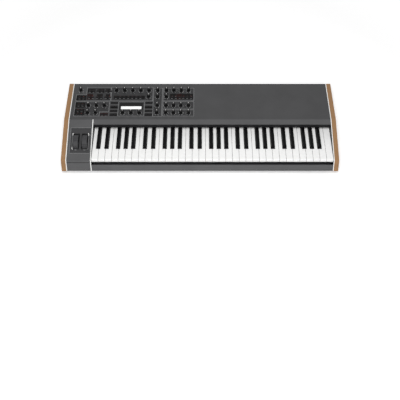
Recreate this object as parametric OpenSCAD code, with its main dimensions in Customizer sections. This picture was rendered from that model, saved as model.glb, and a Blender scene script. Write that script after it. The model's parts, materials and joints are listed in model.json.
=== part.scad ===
// Keyboard synthesizer: a folded steel case between wooden cheeks, with a flat control panel,
// a sprung five-octave keyboard on one pivot rod and two performance wheels.
// Sizes are in millimetres. The origin is on the floor under the middle of the case,
// with +X to the player's right, +Y to the rear and +Z up.

/* [Case] */
// Depth of the flat control panel, from its bend to the rear of the cheeks
panel_d = 176.5; // [168:0.5:200]
// Depth of the sloping deck, from the panel's bend to the shoulder of the cheeks
slope_d = 157; // [152:0.5:165]
// Depth of the slanted nose, from the shoulder to its foremost edge
nose_d = 19.5; // [16:0.5:24]
// Depth of the undercut below the nose
under_d = 18; // [12:0.5:22]
// Height of the cheeks above the underside of the case
cheek_h = 91; // [88:0.5:100]
// Height of the shoulder of the cheeks above the underside
shoulder_h = 54; // [52:0.5:57]
// Height of the nose edge above the underside
nose_h = 16.5; // [14:0.5:22]
// Height of the upper edge of the front rail above the underside
rail_h = 36.5; // [32:0.5:42]
// Thickness of each wooden cheek
cheek_t = 15.75; // [12:0.25:25]
// How far the cheeks stand proud of the metal case
cheek_proud = 1.5; // [0.8:0.1:3]
// Thickness of the pale trim plate inside each cheek
trim_t = 2.75; // [1.5:0.25:5]
// How far the trim plates lie below the surface of the cheeks
trim_inset = 0.8; // [0.3:0.1:1.2]
// Thickness of the folded sheet of the panel, the front rail and the wheel block
sheet_t = 2; // [1.2:0.1:2.5]
// Thickness of the sheet of the bottom pan
pan_t = 1.5; // [1:0.1:2.5]
// Thickness of the rear panel
rear_t = 2; // [1.2:0.1:2.5]
// Height of the panel's fold down over the rear panel
rear_lip_h = 12; // [8:1:20]
// Length of the flange by which the nose stands on the pan
return_l = 10; // [6:0.5:11]
// Radius of the shoulder's rounding on the cheeks
shoulder_r = 7; // [3:0.5:12]
// Radius of the other corners of the cheeks
corner_r = 4; // [2:0.5:8]
// Radius of the cheeks' turn from the deck to the panel
bend_r = 60; // [20:5:120]

/* [Feet and screws] */
// Height of the rubber feet
foot_h = 9; // [6:0.5:14]
// Radius of the rubber feet where they meet the floor
foot_r = 10; // [8:0.5:14]
// Flare of the rubber feet towards the case
foot_flare = 1.5; // [0:0.25:3]
// Distance of the feet from the ends of the case
foot_end = 75; // [40:1:120]
// Distance of the feet from the front and rear edges of the underside
foot_edge = 30; // [20:1:40]
// Shank radius of the cheek bolts
bolt_r = 2; // [1.5:0.25:2.5]
// Head radius of the cheek bolts
bolt_head_r = 4.5; // [3.5:0.25:5.5]
// Head height of the cheek bolts
bolt_head_h = 3; // [2:0.25:4]
// Height of the cheek bolts above the underside
bolt_h = 16; // [12:0.5:18]
// Distance of the front cheek bolt from the shoulder
bolt_front = 50; // [40:1:60]
// Distance of the rear cheek bolt from the rear
bolt_back = 50; // [40:1:60]
// Shank radius of the sheet screws
screw_r = 1.6; // [1.2:0.1:2]
// Head radius of the sheet screws
screw_head_r = 3.4; // [2.8:0.1:4]
// Head height of the sheet screws
screw_head_h = 1.3; // [1:0.05:1.4]

/* [Keyboard] */
// Number of octaves, with one more C at the top
octaves = 5; // [4:1:5]
// Width of one natural with its gap
key_pitch = 23.5; // [22:0.1:24]
// Gap between two keys
key_gap = 1; // [0.8:0.05:1.3]
// Gap between the end keys and the walls beside them
key_side_gap = 0.75; // [0.6:0.05:2]
// Height of the naturals' tops above the underside
key_h = 54; // [52:0.5:55]
// Distance of the naturals' front edge behind the shoulder
key_setback = 2; // [0:0.5:4]
// Distance from the naturals' front edge to the pivot
key_reach = 193; // [186:1:198]
// Length of the keys behind the pivot
key_tail = 22; // [20:0.5:25]
// Length of the naturals' heads in front of the sharps
head_l = 49; // [46:0.5:52]
// Thickness of the naturals from top to lower edge
natural_t = 11; // [10:0.25:12]
// Radius of the naturals' front edge
key_edge_r = 2.5; // [1:0.25:4]
// Wall thickness of the hollow keys
key_wall = 1.8; // [1.2:0.1:2.2]
// Thickness of the keys' top skin
key_skin = 2.4; // [1.6:0.1:3]
// Width of a sharp at its base
sharp_w = 13.7; // [12.7:0.1:14]
// Width of a sharp at its top
sharp_top_w = 10.4; // [9:0.1:11]
// Height of the sharps above the naturals
sharp_h = 12; // [10:0.25:12.5]
// Length of the sloping front of a sharp
sharp_rake = 7; // [4:0.5:10]
// Travel of a key at its front edge
key_dip = 10; // [8:0.25:11]
// Radius of the pivot rod
rod_r = 2; // [1.5:0.1:2.5]
// Depth of the sloping strip behind the keys
strip_d = 19; // [15:0.5:24]
// Thickness of the dark fascia behind the keys
fascia_t = 3; // [2:0.25:5]
// Space between the sharps and the fascia
fascia_gap = 2; // [1.5:0.25:3]

/* [Key bed] */
// Thickness of the key bed's steel
frame_t = 1.5; // [1:0.1:2]
// Setback of the key bed behind the naturals' front edge
frame_back = 13; // [11:0.5:16]
// Thickness of the pivot fins between the octaves
fin_t = 1.2; // [0.8:0.1:1.4]
// Half depth of the pivot fins
fin_d = 8; // [6:0.5:8.5]
// Thickness of the felt under the naturals and under the tails
felt_t = 3; // [2:0.25:4]
// Depth of each felt strip
felt_d = 8; // [6:0.5:9]
// Space left between a pressed key and what stops it
press_gap = 0.4; // [0.3:0.05:0.6]
// Space left between a key at rest and what carries it
rest_gap = 0.1; // [0.05:0.05:0.2]
// Length of the plungers below the keys
plunger_l = 12; // [10:0.5:14]
// Side of the square plungers
plunger_w = 5; // [4:0.25:6]
// Distance of the contacts from the pivot
contact_back = 88; // [80:1:95]
// Height of the rubber contact domes with their mat
dome_h = 4; // [3:0.25:5]
// Thickness of the contact mat
mat_t = 1.2; // [0.8:0.1:1.6]
// Depth of the contact board
contact_d = 34; // [26:1:40]
// Thickness of the circuit boards
board_t = 1.6; // [1.2:0.1:2]
// Radius of the key springs
spring_r = 1.8; // [1.2:0.1:2]
// Wall of the key springs
spring_wall = 0.6; // [0.4:0.05:0.8]
// Distance of the key springs behind the pivot
spring_back = 11; // [10:0.25:11.5]

/* [Wheels] */
// Thickness of the pale wall between the wheel block and the keys
key_trim_t = 2.75; // [2:0.25:5]
// Diameter of the wheels
wheel_d = 64; // [61:1:66]
// Width of the wheels
wheel_w = 19; // [16:0.5:20]
// Radius of the wheels' rim edges
wheel_edge_r = 3; // [1.5:0.25:4]
// Thickness of the wheels' rim
wheel_rim = 6; // [5:0.5:9]
// Thickness of the wheels' web
wheel_web = 4; // [3:0.5:6]
// How far the wheels stand out of their plate
wheel_show = 14; // [10:0.5:15]
// Distance of the pitch wheel's middle from the left trim
wheel_x = 29.25; // [28:0.25:31]
// Distance between the middles of the two wheels
wheel_spacing = 31.5; // [30:0.25:34]
// Distance of the modulation wheel's middle from the block's right side
wheel_side = 22.5; // [21:0.25:26]
// Distance of the slots' middle from the panel's bend
wheel_back = 84; // [80:0.5:88]
// Radius of the wheels' axles
axle_r = 3; // [2:0.25:4]
// Radius of the thumb notch in the wheels
notch_r = 4; // [2:0.25:6]
// Depth of the wheel plate
plate_d = 95.5; // [90:0.5:104]
// Distance of the wheel plate from the panel's bend
plate_back = 32.5; // [28:0.5:36]
// Margin to the left of the wheel plate
plate_left = 9.25; // [5:0.25:10]
// Margin to the right of the wheel plate
plate_right = 2.75; // [2.5:0.25:5]
// How far the wheel plate lies below the wheel block
plate_recess = 1; // [0.6:0.1:1.1]
// Thickness of the wheel plate's hidden flange
plate_flange_t = 1.5; // [1:0.1:2]
// Overlap of the flange under the wheel block
plate_flange = 2; // [1.5:0.1:2.4]
// Space around the wheels in their slots
slot_gap = 2.2; // [1.2:0.1:2.4]
// Width of the raised rim around each slot
slot_rim_w = 1.4; // [1:0.1:1.6]
// Height of the raised rim around each slot
slot_rim_h = 1.2; // [0.8:0.1:1.6]

/* [Controls] */
// Diameter of the knobs at the base
knob_d = 13; // [11:0.25:14]
// Height of the knobs
knob_h = 13.5; // [11:0.25:16]
// Space between the knobs and the panel
knob_lift = 0.8; // [0.5:0.1:1.5]
// Taper of the knobs from base to top, on the radius
knob_taper = 0.8; // [0.3:0.05:1.2]
// Width of the pointer groove in the knobs
groove_w = 1.2; // [0.8:0.1:1.6]
// Depth of the pointer groove in the knobs
groove_d = 0.5; // [0.3:0.05:0.7]
// Radius of the knob shafts
shaft_r = 3; // [2.5:0.1:3.2]
// Depth of the shaft's hole in the knobs
shaft_l = 9; // [7:0.25:10]
// Outer radius of the bushes that hold the knob shafts
bush_r = 4.2; // [3.8:0.1:4.5]
// Side of the square bodies under the knobs
pot_w = 11; // [9:0.25:12]
// Height of those bodies, from the panel board to the panel
pot_h = 8.5; // [7.5:0.25:10]
// Width of a button
button_w = 11; // [9:0.25:11.2]
// Depth of a button
button_d = 6.5; // [5:0.25:7.5]
// Corner radius of a button
button_r = 1; // [0.5:0.1:1.5]
// Height of a button above the panel
button_h = 1.9; // [1.5:0.1:3]
// Travel of a button
button_travel = 1; // [0.5:0.1:1.2]
// Width of the hidden rim that keeps a button in
button_rim = 0.8; // [0.5:0.05:0.9]
// Thickness of that rim
button_rim_t = 1.2; // [0.8:0.1:1.5]
// Side of the square stem of a button
stem_w = 3.6; // [3:0.1:4]
// Side of the switch below a button
switch_w = 6; // [5:0.25:6.5]
// Height of the switch below a button
switch_h = 3.4; // [3:0.1:3.6]

/* [Panel layout] */
// Knob row nearest the keys, measured from the bend
knob_row_1 = 30.5; // [29:0.5:32]
// Second knob row
knob_row_2 = 65.5; // [63:0.5:68]
// Third knob row
knob_row_3 = 108.5; // [106:0.5:111]
// Knob row nearest the rear
knob_row_4 = 139.5; // [137:0.5:142]
// Volume knob, measured from the panel's left edge
volume_x = 27.5; // [24:0.5:31]
// First modulation knob, measured from the volume knob
mod_gap = 34; // [32:0.5:37]
// Spacing of the modulation knobs
mod_pitch = 29; // [28:0.25:30]
// First oscillator knob, measured from the last modulation knob
osc_gap = 39; // [36:0.5:42]
// Spacing of the oscillator knobs
osc_pitch = 30; // [29:0.25:31]
// Mixer column, measured from the last oscillator knob
mixer_gap = 32.5; // [30:0.5:38]
// First filter knob, measured from the mixer column
filter_gap = 32.5; // [28:0.5:36]
// Spacing of the filter knobs
filter_pitch = 27; // [26:0.25:28]
// Spacing of the knobs below the display
value_pitch = 30; // [26:0.25:31]
// Spacing of the buttons in a close row
button_pitch = 14; // [13:0.25:14.5]
// Spacing of the button pairs beside the volume knob
pair_pitch = 31; // [29:0.25:32]
// Spacing of the button rows beside the display
button_row_pitch = 19; // [17:0.25:20]
// First button row beside the display, measured from the bend
button_row_1 = 22.5; // [21:0.5:24]
// Width of the display window
display_w = 84; // [78:0.5:88]
// Depth of the display window
display_d = 34; // [28:0.5:36]
// Middle of the display, measured from the first oscillator knob
display_gap = 59; // [57:0.5:61]
// Middle of the display, measured from the bend
display_y = 62.5; // [61:0.5:64]

/* [Rear sockets] */
// Height of the sockets' middle above the underside
socket_h = 34; // [30:0.5:40]
// First jack socket, measured from the left trim
jack_x = 230; // [200:1:240]
// Number of jack sockets
jack_count = 5; // [3:1:5]
// Spacing of the jack sockets
jack_pitch = 34; // [28:0.5:36]
// Radius of the jack sockets' bores
jack_r = 3.25; // [3.2:0.01:3.4]
// Outer radius of the jack sockets' threaded bushes
jack_bush_r = 5; // [4.5:0.1:5.5]
// Length of the jack sockets' bores
jack_l = 26; // [20:0.5:28]
// Side of the jack sockets' bodies
jack_w = 15; // [13:0.5:17]
// First round data socket, measured from the left trim
midi_x = 430; // [420:1:440]
// Spacing of the two round data sockets
midi_pitch = 32; // [26:0.5:36]
// Radius of the round data sockets
midi_r = 8.6; // [8:0.1:9]
// Radius of the round data sockets' bores
midi_bore_r = 6.8; // [6.4:0.1:7]
// Depth of the round data sockets' bores
midi_bore_l = 8; // [6:0.5:10]
// Depth of the round data sockets behind the rear panel
midi_l = 14; // [12:0.5:18]
// Square data socket, measured from the left trim
usb_x = 515; // [505:1:525]
// Mains inlet, measured from the right trim
mains_x = 62; // [56:1:70]
// Width of the separate rear plate around the mains inlet
mains_plate_w = 125; // [118:1:135]

/* [Hidden] */
$fn = 48;
fit = 0.2;
run_fit = 0.06;
slide_gap = 0.35;
arm_relief = 1.5;
over = 1;

// Side profile of the case, as depth and height, with the rounding that draws the nose edge back
nose_up = unit([nose_d, shoulder_h - nose_h]);
nose_down = unit([under_d, -nose_h]);
nose_half = acos(nose_up * nose_down) / 2;
nose_loss = corner_r * (unit(nose_up + nose_down)[0] / sin(nose_half) - 1);
case_d = panel_d + slope_d + nose_d - nose_loss;
y_rear = case_d / 2;
y_bend = y_rear - panel_d;
y_shoulder = y_bend - slope_d;
y_nose = y_shoulder - nose_d;
y_under = y_nose + under_d;
z_base = foot_h;
z_top = z_base + cheek_h;
z_shoulder = z_base + shoulder_h;
z_nose = z_base + nose_h;
z_rail = z_base + rail_h;
slope_a = atan((z_top - z_shoulder) / slope_d);
cheek_points = [
    [y_under, z_base], [y_rear, z_base], [y_rear, z_top],
    [y_bend, z_top], [y_shoulder, z_shoulder], [y_nose, z_nose]
];
cheek_radii = [corner_r, corner_r, corner_r, bend_r, shoulder_r, corner_r];

// Planes of the folded case
z_floor = z_base + pan_t;
z_panel = z_top - cheek_proud;
z_sheet = z_panel - sheet_t;
sheet_in = cheek_proud + sheet_t;
y_back = y_rear - sheet_in;
y_back_in = y_back - rear_t;
y_strip = y_bend - strip_d;
y_floor = y_under + cheek_proud;
pan_lip_h = 12;
z_deck_low = plane_z(y_shoulder, sheet_in + plate_flange_t + over);

// Widths across the case
naturals = 7 * octaves + 1;
keys_w = naturals * key_pitch;
wheel_block_w = wheel_x + wheel_spacing + wheel_side;
inner_w = wheel_block_w + key_trim_t + keys_w + 2 * key_side_gap;
case_w = inner_w + 2 * (trim_t + cheek_t);
x_left = -inner_w / 2;
x_right = inner_w / 2;
x_block = x_left + wheel_block_w;
x_bed = x_block + key_trim_t;
x_keys = x_bed + key_side_gap;
x_keys_end = x_keys + keys_w;

// Keys, seen from the side
y_key = y_shoulder + key_setback;
y_head = y_key + head_l;
y_sharp = y_head + key_gap;
blade_hidden = 12;
y_blade = y_strip + blade_hidden;
arm_back = 2;
arm_lap = 3;
y_arm = y_bend + arm_back;
y_pivot = y_key + key_reach;
y_tail = y_pivot + key_tail;
y_contact = y_pivot - contact_back;
y_spring = y_pivot + spring_back;
z_key = z_base + key_h;
z_key_low = z_key - natural_t;
z_pivot = z_key - natural_t / 2;
z_sharp = z_key + sharp_h;
z_plunger = z_key_low - plunger_l;

// Shift of the sharp after each natural of an octave from the line between its neighbours
sharp_shift = [-3, 3, undef, -3.3, 0, 3, undef];
solo_octave = floor(octaves / 2);
solo_first = 7 * solo_octave;
solo_end = solo_first + 7;

// Key bed
y_frame = y_key + frame_back;
frame_tail = 3;
y_frame_end = y_tail + frame_tail;
felt_sharp_back = 8;
y_felt_sharp = y_sharp + felt_sharp_back;
z_shelf = z_key_low - drop(y_frame) - press_gap - felt_t;
z_rest_shelf = z_key_low - rest_gap - felt_t;
z_dome = z_plunger - drop(y_contact - plunger_w / 2) - press_gap;
z_contact = z_dome - dome_h;
post_r = 3;
frame_end_gap = 1;
x_frame_end = x_keys_end - frame_end_gap;
fin_side = 0.4;
fin_drop = 1;
mat_d = 14;
dome_r = 4.5;
dome_top_r = 3;
bed_screw_count = 3;
bed_screw_edge = 20;
bed_screw_xs = [for (i = [1 : bed_screw_count]) x_keys + keys_w * (i - 0.5) / bed_screw_count];
bed_screw_ys = [y_frame + bed_screw_edge, y_pivot - bed_screw_edge];
bed_head_h = 2.2;

// Screws and bolts
bolt_ys = [y_shoulder + bolt_front, y_rear - bolt_back];
z_bolt = z_base + bolt_h;
bolt_tab_w = 30;
bolt_tab_rise = 10;
bolt_end = 3;
rear_screw_count = 6;
rear_screw_xs = [for (i = [1 : rear_screw_count]) x_left + inner_w * (i - 0.5) / rear_screw_count];
z_rear_screws = [z_floor + pan_lip_h / 2, z_panel - rear_lip_h / 2];
screw_l = 8;

// Wheels
wheel_r = wheel_d / 2;
wheel_depth = wheel_r - wheel_show;
plate_in = cheek_proud + plate_recess;
y_slot = y_bend - wheel_back;
y_wheel = y_slot + wheel_depth * sin(slope_a);
z_wheel = plane_z(y_slot, plate_in) - wheel_depth * cos(slope_a);
pitch_x = x_left + wheel_x;
wheel_xs = [pitch_x, pitch_x + wheel_spacing];
y_plate_end = y_bend - plate_back;
y_plate = y_plate_end - plate_d;
slot_w = wheel_w + 2 * slot_gap;
slot_chord_depth = wheel_depth - (sheet_t - plate_recess) - plate_flange_t;
slot_l = 2 * sqrt(wheel_r * wheel_r - slot_chord_depth * slot_chord_depth) + 2 * slot_gap;
bracket_t = 2;
bracket_d = 16;
bracket_foot = 6;
bracket_rise = 3;
bracket_xs = [for (i = [-1 : 1]) pitch_x + (i + 0.5) * wheel_spacing];
wheel_pot_r = 8;
wheel_pot_t = 3;
axle_half = wheel_spacing / 2 - fit;
hub_wall = 3;
hub_r = axle_r + hub_wall;
wheel_spring_gap = 0.6;
wheel_spring_t = 1.8;
slot_rim_r = 2;
mod_notch_a = 38;

// Places of the controls, from the panel's left edge and from its bend
mod_x = volume_x + mod_gap;
osc_x = mod_x + 2 * mod_pitch + osc_gap;
mixer_x = osc_x + 4 * osc_pitch + mixer_gap;
filter_x = mixer_x + filter_gap;
display_x = osc_x + display_gap;
knob_rows = [knob_row_1, knob_row_2, knob_row_3, knob_row_4];
volume_place = [volume_x, knob_row_4];
value_places = [for (i = [-1 : 1]) [display_x + i * value_pitch, knob_row_1]];
filter_places = [for (i = [0 : 3]) [filter_x + i * filter_pitch, knob_row_4]];
fixed_places = concat(
    [for (i = [0 : 4]) [osc_x + i * osc_pitch, knob_row_4]],
    [[osc_x + 4 * osc_pitch, knob_row_3], [filter_x, knob_row_3]],
    [for (y = knob_rows) [mixer_x, y]],
    [for (i = [0 : 3], y = [knob_row_1, knob_row_2]) [filter_x + i * filter_pitch, y]],
    [for (i = [0 : 2]) [mod_x + i * mod_pitch, knob_row_2]],
    [for (i = [0 : 1]) [mod_x + i * mod_pitch, knob_row_1]]
);
knob_places = concat([volume_place], value_places, filter_places, fixed_places);
display_rows = [for (i = [0 : 3]) button_row_1 + i * button_row_pitch];
display_frame = 5;
side_gap = 1.7;
side_pitch = 15;
side_near = display_w / 2 + display_frame + side_gap + button_w / 2 + button_rim;
side_far = side_near + side_pitch;
side_xs = [for (s = [-side_far, -side_near, side_near, side_far]) display_x + s];
button_drop = 2;
mod_button_shift = 2;
mod_button_x = mod_x - mod_button_shift;
pair_shift = 2;
pair_x = volume_x - pair_shift;
pair_rise = 4;
pair_rows = [
    button_row_1, button_row_1 + button_row_pitch,
    knob_row_2 + pair_rise, knob_row_3 - pair_rise
];
lone_pair_gap = 52.5;
lone_pair_x = mod_x + lone_pair_gap;
left_button_places = concat(
    [
        for (k = [0 : 2], i = [0 : 1], y = [knob_row_3, knob_row_4])
            [mod_button_x + k * pair_pitch + i * button_pitch, y - button_drop]
    ],
    [for (i = [0 : 1], y = pair_rows) [pair_x + i * button_pitch, y]],
    [for (i = [0 : 1]) [lone_pair_x + i * button_pitch, button_row_1]]
);
display_button_places = [for (x = side_xs, y = display_rows) [x, y]];
osc_button_gap = 4;
filter_button_gap = 20.5;
filter_button_x = filter_x + filter_button_gap;
sound_button_xs = concat(
    [for (i = [0 : 6]) osc_x + i * (button_w + osc_button_gap)],
    [for (i = [0 : 5]) filter_button_x + i * button_pitch]
);
sound_button_places = [for (x = sound_button_xs) [x, knob_row_3 - button_drop]];
button_places = concat(left_button_places, display_button_places, sound_button_places);

// Boards under the panel
z_board = z_sheet - pot_h;
board_margin = 15;
board_x_end = filter_x + 3 * filter_pitch + board_margin + button_w;
board_y_end = knob_row_4 + board_margin;
board_edge = 6;
board_front = 10;
z_stem = z_board + switch_h + button_travel + slide_gap;
knob_skirt_h = 1.4;
knob_skirt = 0.4;
knob_edge = 0.8;
groove_start = 1.5;
display_corner_r = 1;

// Rear sockets
z_socket = z_base + socket_h;
jack_nut_t = 2;
jack_nut_w = 3;
jack_nose = 3;
jack_wall = 3;
midi_xs = [x_left + midi_x, x_left + midi_x + midi_pitch];
data_nose = 1;
midi_wall = 1.5;
usb_w = 12;
usb_h = 11;
usb_l = 16;
usb_wall = 1.2;
usb_back = 4;
usb_tongue_w = 5.6;
usb_tongue_h = 3.2;
usb_tongue_in = 1.5;
x_mains = x_right - mains_x;
x_mains_plate = x_right - mains_plate_w;
mains_body = [48, 26, 22];
mains_flange = [54, 31, 1.5];
mains_cavity = [24.5, 17, 17];
x_mains_cavity = -9.5;
mains_pin = [2, 4, 13];
mains_pin_places = [[-7, -2.5], [7, -2.5], [0, 2.5]];
rocker_x = 14;
x_rocker = x_mains + rocker_x;
rocker_w = 13;
rocker_pin_r = 1.5;
rocker_pin_l = 1.6;
rocker_tilt = 8;
rocker_half = 9.3;
rocker_depth = 3;
y_rocker = y_back + mains_flange[2] - rocker_depth;
rocker_points = [[-6, -6.5], [3.2, -rocker_half], [2, 0], [3.2, rocker_half], [-6, 6.5]];
rocker_play = 1;
pocket_d = 12;

// Boards and supply on the pan
inner_gap = 6;
socket_room = 32;
y_inner = y_frame_end + inner_gap;
y_inner_end = y_back_in - socket_room;
main_board_edge = 320;
main_board_x = x_left + main_board_edge;
main_board_w = 330;
x_main_board_end = main_board_x + main_board_w;
standoff_h = 7;
standoff_r = 3.5;
standoff_edge = 8;
standoff_places = [
    for (
        x = [main_board_x + standoff_edge, x_main_board_end - standoff_edge],
        y = [y_inner + standoff_edge, y_inner_end - standoff_edge]
    ) [x, y]
];
chip = [18, 24, 4];
chip_count = 5;
chip_edge = [40, 22];
chip_pitch = 55;
supply_w = 120;
supply_h = 34;
supply_gap = 22;
x_supply = x_right - supply_gap - supply_w;
supply_slot_count = 10;
supply_slot_edge = 15;
supply_slot_pitch = 10;
supply_slot_l = 36;
supply_slot_depth = 2;
vent_w = 4;
vent_r = 1.9;
vent_l = 22;
vent_count = 12;
vent_edge = [30, 20];
vent_pitch = [24, 30];

// Height lost by a key at a place along it when it is fully pressed
function drop(y) = key_dip * (y_pivot - y) / key_reach;

// Height of the sloping deck at a depth y, at a distance below the cheeks' surface
function plane_z(y, below) = z_top - (y_bend - y) * tan(slope_a) - below / cos(slope_a);

function unit(v) = v / norm(v);
function inward(a, b) = let (d = unit(b - a)) [-d[1], d[0]];

// A closed outline moved inwards by its own distance at each edge, with its corners kept sharp
function inset(points, d) = let (n = len(points)) [
    for (i = [0 : n - 1])
        let (
            b = points[i],
            n0 = inward(points[(i + n - 1) % n], b),
            n1 = inward(b, points[(i + 1) % n]),
            d0 = d[(i + n - 1) % n],
            d1 = d[i],
            c = n0 * n1
        )
        b + (n0 * (d0 - d1 * c) + n1 * (d1 - d0 * c)) / (1 - c * c)
];

// The case's side outline at a distance inside the cheeks', with its own distance at the underside
function case_outline(d, low) = inset(cheek_points, [low, d, d, d, d, d]);

// A closed outline with each corner turned into an arc of the given radius
function rounded(points, radii, steps = 5) = let (n = len(points)) [
    for (i = [0 : n - 1])
        let (
            b = points[i],
            u = unit(points[(i + n - 1) % n] - b),
            v = unit(points[(i + 1) % n] - b),
            half = acos(u * v) / 2,
            centre = b + unit(u + v) * radii[i] / sin(half),
            from = b + u * radii[i] / tan(half) - centre,
            to = b + v * radii[i] / tan(half) - centre,
            a0 = atan2(from[1], from[0]),
            turn = (atan2(to[1], to[0]) - a0 + 540) % 360 - 180
        )
        for (k = [0 : steps])
            centre + radii[i] * [cos(a0 + turn * k / steps), sin(a0 + turn * k / steps)]
];

function rectangle(w, d) = [[-w / 2, -d / 2], [w / 2, -d / 2], [w / 2, d / 2], [-w / 2, d / 2]];

// Left and right edge of a natural's narrow part, from its own left edge
function has_left(n) = n > 0 && sharp_shift[(n + 6) % 7] != undef;
function has_right(n) = n < naturals - 1 && sharp_shift[n % 7] != undef;
function tail_left(n) = has_left(n) ? sharp_shift[(n + 6) % 7] + sharp_w / 2 + key_gap : key_gap / 2;
function tail_right(n) =
    key_pitch + (has_right(n) ? sharp_shift[n % 7] - sharp_w / 2 - key_gap : -key_gap / 2);
function natural_x(n) = x_keys + n * key_pitch;
function sharp_x(n) = natural_x(n + 1) + sharp_shift[n % 7];
function arm_x(n) = natural_x(n) + (tail_left(n) + tail_right(n)) / 2;
sharp_list = [for (n = [0 : naturals - 2]) if (has_right(n)) n];
key_xs = concat([for (n = [0 : naturals - 1]) arm_x(n)], [for (n = sharp_list) sharp_x(n)]);

// A box between two corners
module slab(low, high) {
    translate(low) cube(high - low);
}

// A side profile drawn as depth and height, stretched across the case
module along_x(x0, x1) {
    translate([x0, 0, 0]) rotate([90, 0, 90]) linear_extrude(x1 - x0) children();
}

module rod_x(x0, x1, y, z, r) {
    translate([x0, y, z]) rotate([0, 90, 0]) cylinder(h = x1 - x0, r = r);
}

module rod_y(x, y0, y1, z, r, sides = $fn) {
    translate([x, y0, z]) rotate([-90, 0, 0]) cylinder(h = y1 - y0, r = r, $fn = sides);
}

module window(y0, y1, z0, z1) {
    translate([y0, z0]) square([y1 - y0, z1 - z0]);
}

// The folded sheet of the case, seen from the side
module sheet_profile(below, t) {
    difference() {
        polygon(case_outline(below, pan_t));
        polygon(case_outline(below + t, pan_t + t));
    }
}

module at_panel(place) {
    translate([x_left + place[0], y_bend + place[1], z_panel]) children();
}

// A place on the sloping deck, turned to lie along it
module on_deck(x, y, below) {
    translate([x, y, plane_z(y, below)]) rotate([slope_a, 0, 0]) children();
}

module rounded_box(w, d, r, h) {
    linear_extrude(h) polygon(rounded(rectangle(w, d), [r, r, r, r], 3));
}

// Case

module bottom_pan() {
    color("#2e2e30")
    difference() {
        union() {
            slab([x_left, y_floor, z_base], [x_right, y_back, z_floor]);
            slab([x_left, y_back_in - pan_t, z_base], [x_right, y_back_in, z_floor + pan_lip_h]);
            for (x = [x_left, x_right - pan_t], y = bolt_ys)
                slab(
                    [x, y - bolt_tab_w / 2, z_base],
                    [x + pan_t, y + bolt_tab_w / 2, z_bolt + bolt_tab_rise]
                );
            for (p = standoff_places)
                translate([p[0], p[1], z_base]) cylinder(h = pan_t + standoff_h, r = standoff_r);
        }
        bed_screw_holes(z_base - over, z_floor + over);
        rear_screw_holes();
        bolt_holes();
        vent_slots();
    }
}

module vent_slots() {
    for (i = [0 : vent_count - 1], j = [0, 1])
        translate([
            main_board_x + vent_edge[0] + vent_pitch[0] * i,
            y_inner + vent_edge[1] + vent_pitch[1] * j, z_base - over
        ])
            rounded_box(vent_w, vent_l, vent_r, pan_t + 2 * over);
}

module bed_screw_holes(z0, z1) {
    for (x = bed_screw_xs, y = bed_screw_ys)
        translate([x, y, z0]) cylinder(h = z1 - z0, r = screw_r + fit);
}

module rear_screw_holes() {
    for (x = rear_screw_xs, z = z_rear_screws)
        rod_y(x, y_back_in - pan_t - over, y_rear, z, screw_r + fit);
}

module bolt_holes() {
    for (y = bolt_ys) rod_x(-case_w, case_w, y, z_bolt, bolt_r + fit);
}

module control_panel() {
    color("#505053")
    difference() {
        union() {
            along_x(x_left, x_right) intersection() {
                sheet_profile(cheek_proud, sheet_t);
                window(y_bend, y_rear, z_panel - rear_lip_h, z_top);
            }
            along_x(x_bed, x_right) intersection() {
                sheet_profile(cheek_proud, sheet_t);
                window(y_strip, y_bend + over, z_shoulder, z_top);
            }
        }
        for (p = knob_places)
            at_panel(p) translate([0, 0, -sheet_t - over])
                cylinder(h = sheet_t + 2 * over, r = bush_r + fit);
        for (p = button_places)
            at_panel(p) translate([0, 0, -sheet_t - over])
                rounded_box(
                    button_w + 2 * slide_gap, button_d + 2 * slide_gap,
                    button_r + slide_gap, sheet_t + 2 * over
                );
        at_panel([display_x, display_y]) translate([0, 0, -sheet_t - over])
            rounded_box(
                display_w + 2 * fit, display_d + 2 * fit,
                display_corner_r + fit, sheet_t + 2 * over
            );
        rear_screw_holes();
    }
}

module rear_panel() {
    color("#2c2c2e")
    difference() {
        for (span = [[x_left, x_mains_plate - fit], [x_mains_plate, x_right]])
            slab([span[0], y_back_in, z_floor], [span[1], y_back, z_sheet]);
        rear_screw_holes();
        for (i = [0 : jack_count - 1])
            rod_y(jack_place(i), y_back_in - over, y_back + over, z_socket, jack_bush_r + fit);
        for (x = midi_xs) rod_y(x, y_back_in - over, y_back + over, z_socket, midi_r + fit);
        translate([x_left + usb_x, y_back, z_socket])
            cube([usb_w + 2 * fit, 4 * rear_t, usb_h + 2 * fit], center = true);
        translate([x_mains, y_back, z_socket])
            cube([mains_body[0] + 2 * fit, 4 * rear_t, mains_body[1] + 2 * fit], center = true);
    }
}

module front_rail() {
    color("#58585b")
    along_x(x_bed, x_right) intersection() {
        sheet_profile(cheek_proud, sheet_t);
        window(y_nose, y_under + return_l, z_floor, z_rail);
    }
}

module wheel_block() {
    color("#58585b")
    difference() {
        along_x(x_left, x_block) intersection() {
            sheet_profile(cheek_proud, sheet_t);
            union() {
                window(y_nose, y_under + return_l, z_floor, z_top);
                window(y_shoulder, y_bend, z_deck_low, z_top);
            }
        }
        slab([x_left + plate_left, y_plate, z_deck_low], [x_block - plate_right, y_plate_end, z_top + over]);
    }
}

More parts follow.
